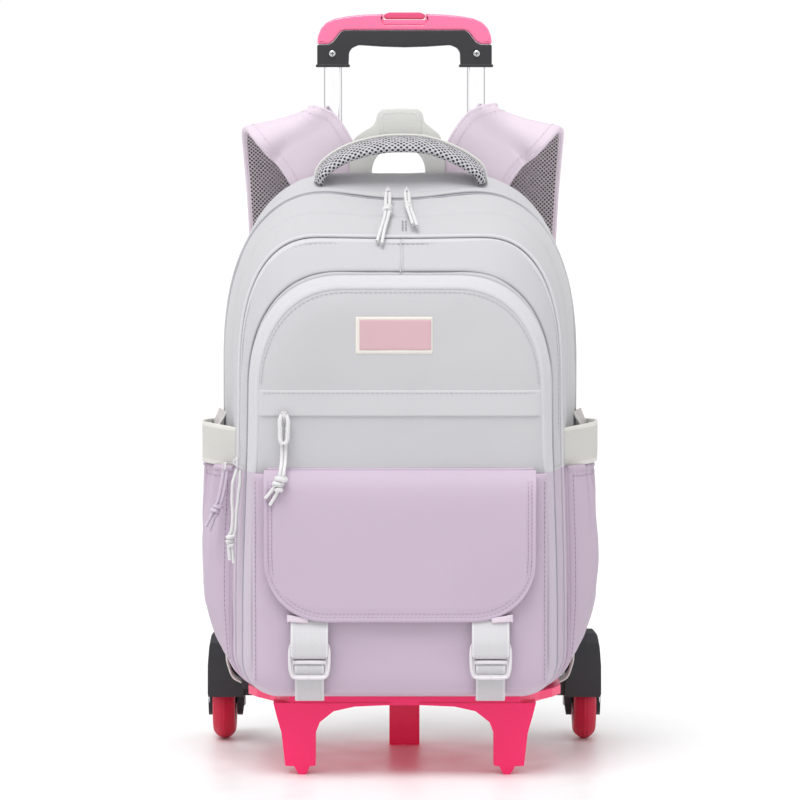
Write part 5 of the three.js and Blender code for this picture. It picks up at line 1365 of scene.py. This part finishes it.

# screws and flat panels on the bracket
for side, tag in ((-1, "left"), (1, "right")):
    for k_, (bx, bz) in enumerate(((side * 26, 480.5), (side * 44, 480.5))):
        lathe("bracket_screw_%s_%d" % (tag, k_), [(0.05, 0.9), (2.6, 0.9), (3.2, 0.4), (3.2, -0.5), (0.05, -0.5)], 24, "steel", "Y", (bx, 111.0, bz), bag=False, slot="steel")
    plate("bracket_panel_" + tag, rounded(rect(*(sorted((side * 14, side * 52))), 473.5, 487.5), 2, 3), [], 110.6, 111.5, "black", 0.35, 2, bag=False, slot="black_plastic")

# ---------------------------------------------------------------- wheels
WX, WY, WZ = 163.7, 130.0, 35.0
for side, tag in ((-1, "left"), (1, "right")):
    at = (side * WX, WY, WZ)
    wb = dict(body="wheel_" + tag, bag=False)
    h = 10.3
    half_ = [(23.9, h - 1.0), (24.5, h - 0.4), (26.6, h), (28.3, h - 0.45), (29.8, h - 1.3), (31.2, h - 2.5), (32.4, h - 3.8), (33.5, h - 5.3), (34.3, h - 6.8), (34.8, h - 8.2), (34.55, h - 8.4), (34.6, h - 8.7), (34.95, h - 8.9), (35, h - 9.4)]
    prof = [(r_, -x_) for r_, x_ in half_] + half_[::-1]
    lathe("tyre_" + tag, prof, 120, "red", "X", at, sharp=60, rep=("tyre_" + tag,), slot="tyre_red", **wb)
    hubp = [(3.3, -h), (7.6, -h), (8.2, -h + 0.6), (8.2, -h + 4.2), (19.6, -h + 4.2), (20.2, -h + 0.9), (23.4, -h + 0.6), (23.7, -h + 1.0), (23.7, h - 1.0), (23.4, h - 0.6), (20.2, h - 0.9), (19.6, h - 4.2), (8.2, h - 4.2), (8.2, h - 0.6), (7.6, h), (3.3, h)]
    lathe("wheel_hub_" + tag, hubp, 96, "black", "X", at, rep=("wheel_hub_" + tag,), slot="black_plastic", **wb)
    for k_ in range(5):
        a_ = TAU * k_ / 5 + 0.3
        d_, n2 = A((math.cos(a_), math.sin(a_))), A((-math.sin(a_), math.cos(a_)))
        pts = [tuple(A((WY, WZ)) + d_ * r_ + n2 * w_) for r_, w_ in ((7.6, -2.6), (20.6, -1.7), (20.6, 1.7), (7.6, 2.6))]
        for e in (-1, 1):
            x_ = side * WX + e * 6.6
            plate("spoke_%s_%d%s" % (tag, k_, "a" if e < 0 else "b"), rounded(pts, 0.7, 2), [], x_ - 1.5, x_ + 1.5, "black", 0.5, 2, "YZ", slot="black_plastic", **wb)
    # axle caps stay with the fork
    for e in (-1, 1):
        xf = side * (178.2 if e * side > 0 else 145.5)
        lathe("axle_cap_%s_%s" % (tag, "out" if e * side > 0 else "in"), [(0.05, 0.9 * e), (3.6, 0.9 * e), (5.2, 0.3 * e), (5.4, -0.6 * e), (0.05, -0.6 * e)], 40, "steel", "X", (xf, WY, WZ), bag=False, slot="steel")

# ---------------------------------------------------------------- floor, light
floor_m = Mat("floor", Roughness=0.42)
ov = floor_m.xyz("obj")[0]
floor_m.put(floor_m.b.inputs["Base Color"], floor_m.mix(floor_m.noise(ov, 2.0), (0.90, 0.90, 0.90, 1), (0.92, 0.92, 0.92, 1)))
floor_m.put(floor_m.b.inputs["Roughness"], floor_m.range(floor_m.noise(ov, 30.0), 0.3, 0.7, 0.34, 0.46))
floor_m.b.inputs["Specular IOR Level"].default_value = 0.5
me = bpy.data.meshes.new("floor")
R_ = 30.0
me.from_pydata([(-R_, -R_, 0), (R_, -R_, 0), (R_, R_, 0), (-R_, R_, 0)], [], [(0, 1, 2, 3)])
me.materials.append(floor_m.m)
floor = bpy.data.objects.new("floor", me)
bpy.context.scene.collection.objects.link(floor)

world = bpy.data.worlds.new("studio")
bpy.context.scene.world = world
world.use_nodes = True
nt = world.node_tree
nt.nodes.clear()
out_ = nt.nodes.new("ShaderNodeOutputWorld")
lit = nt.nodes.new("ShaderNodeBackground")
seen = nt.nodes.new("ShaderNodeBackground")
mixs = nt.nodes.new("ShaderNodeMixShader")
lp_ = nt.nodes.new("ShaderNodeLightPath")
lit.inputs[0].default_value = (1.0, 1.0, 1.0, 1)
lit.inputs[1].default_value = 0.56
seen.inputs[0].default_value = (1, 1, 1, 1)
seen.inputs[1].default_value = 1.02
either = nt.nodes.new("ShaderNodeMath")
either.operation, either.use_clamp = "ADD", True
nt.links.new(lp_.outputs["Is Camera Ray"], either.inputs[0])
nt.links.new(lp_.outputs["Is Glossy Ray"], either.inputs[1])
nt.links.new(either.outputs[0], mixs.inputs[0])
nt.links.new(lit.outputs[0], mixs.inputs[1])
nt.links.new(seen.outputs[0], mixs.inputs[2])
nt.links.new(mixs.outputs[0], out_.inputs[0])


def sun(name, direction, energy, angle):
    l = bpy.data.lights.new(name, "SUN")
    l.energy, l.angle = energy, math.radians(angle)
    o = bpy.data.objects.new(name, l)
    from mathutils import Vector
    o.rotation_mode = "QUATERNION"
    o.rotation_quaternion = Vector(direction).to_track_quat("-Z", "Y")
    bpy.context.scene.collection.objects.link(o)


sun("key", (0.14, 0.36, -1.0), 2.0, 36)
sun("side_left", (0.8, 0.35, -0.6), 0.3, 70)
sun("side_right", (-0.8, 0.35, -0.6), 0.26, 70)
bpy.context.scene.view_settings.view_transform = "Standard"
bpy.context.scene.view_settings.look = "None"
bpy.context.scene.view_settings.exposure = 0.0
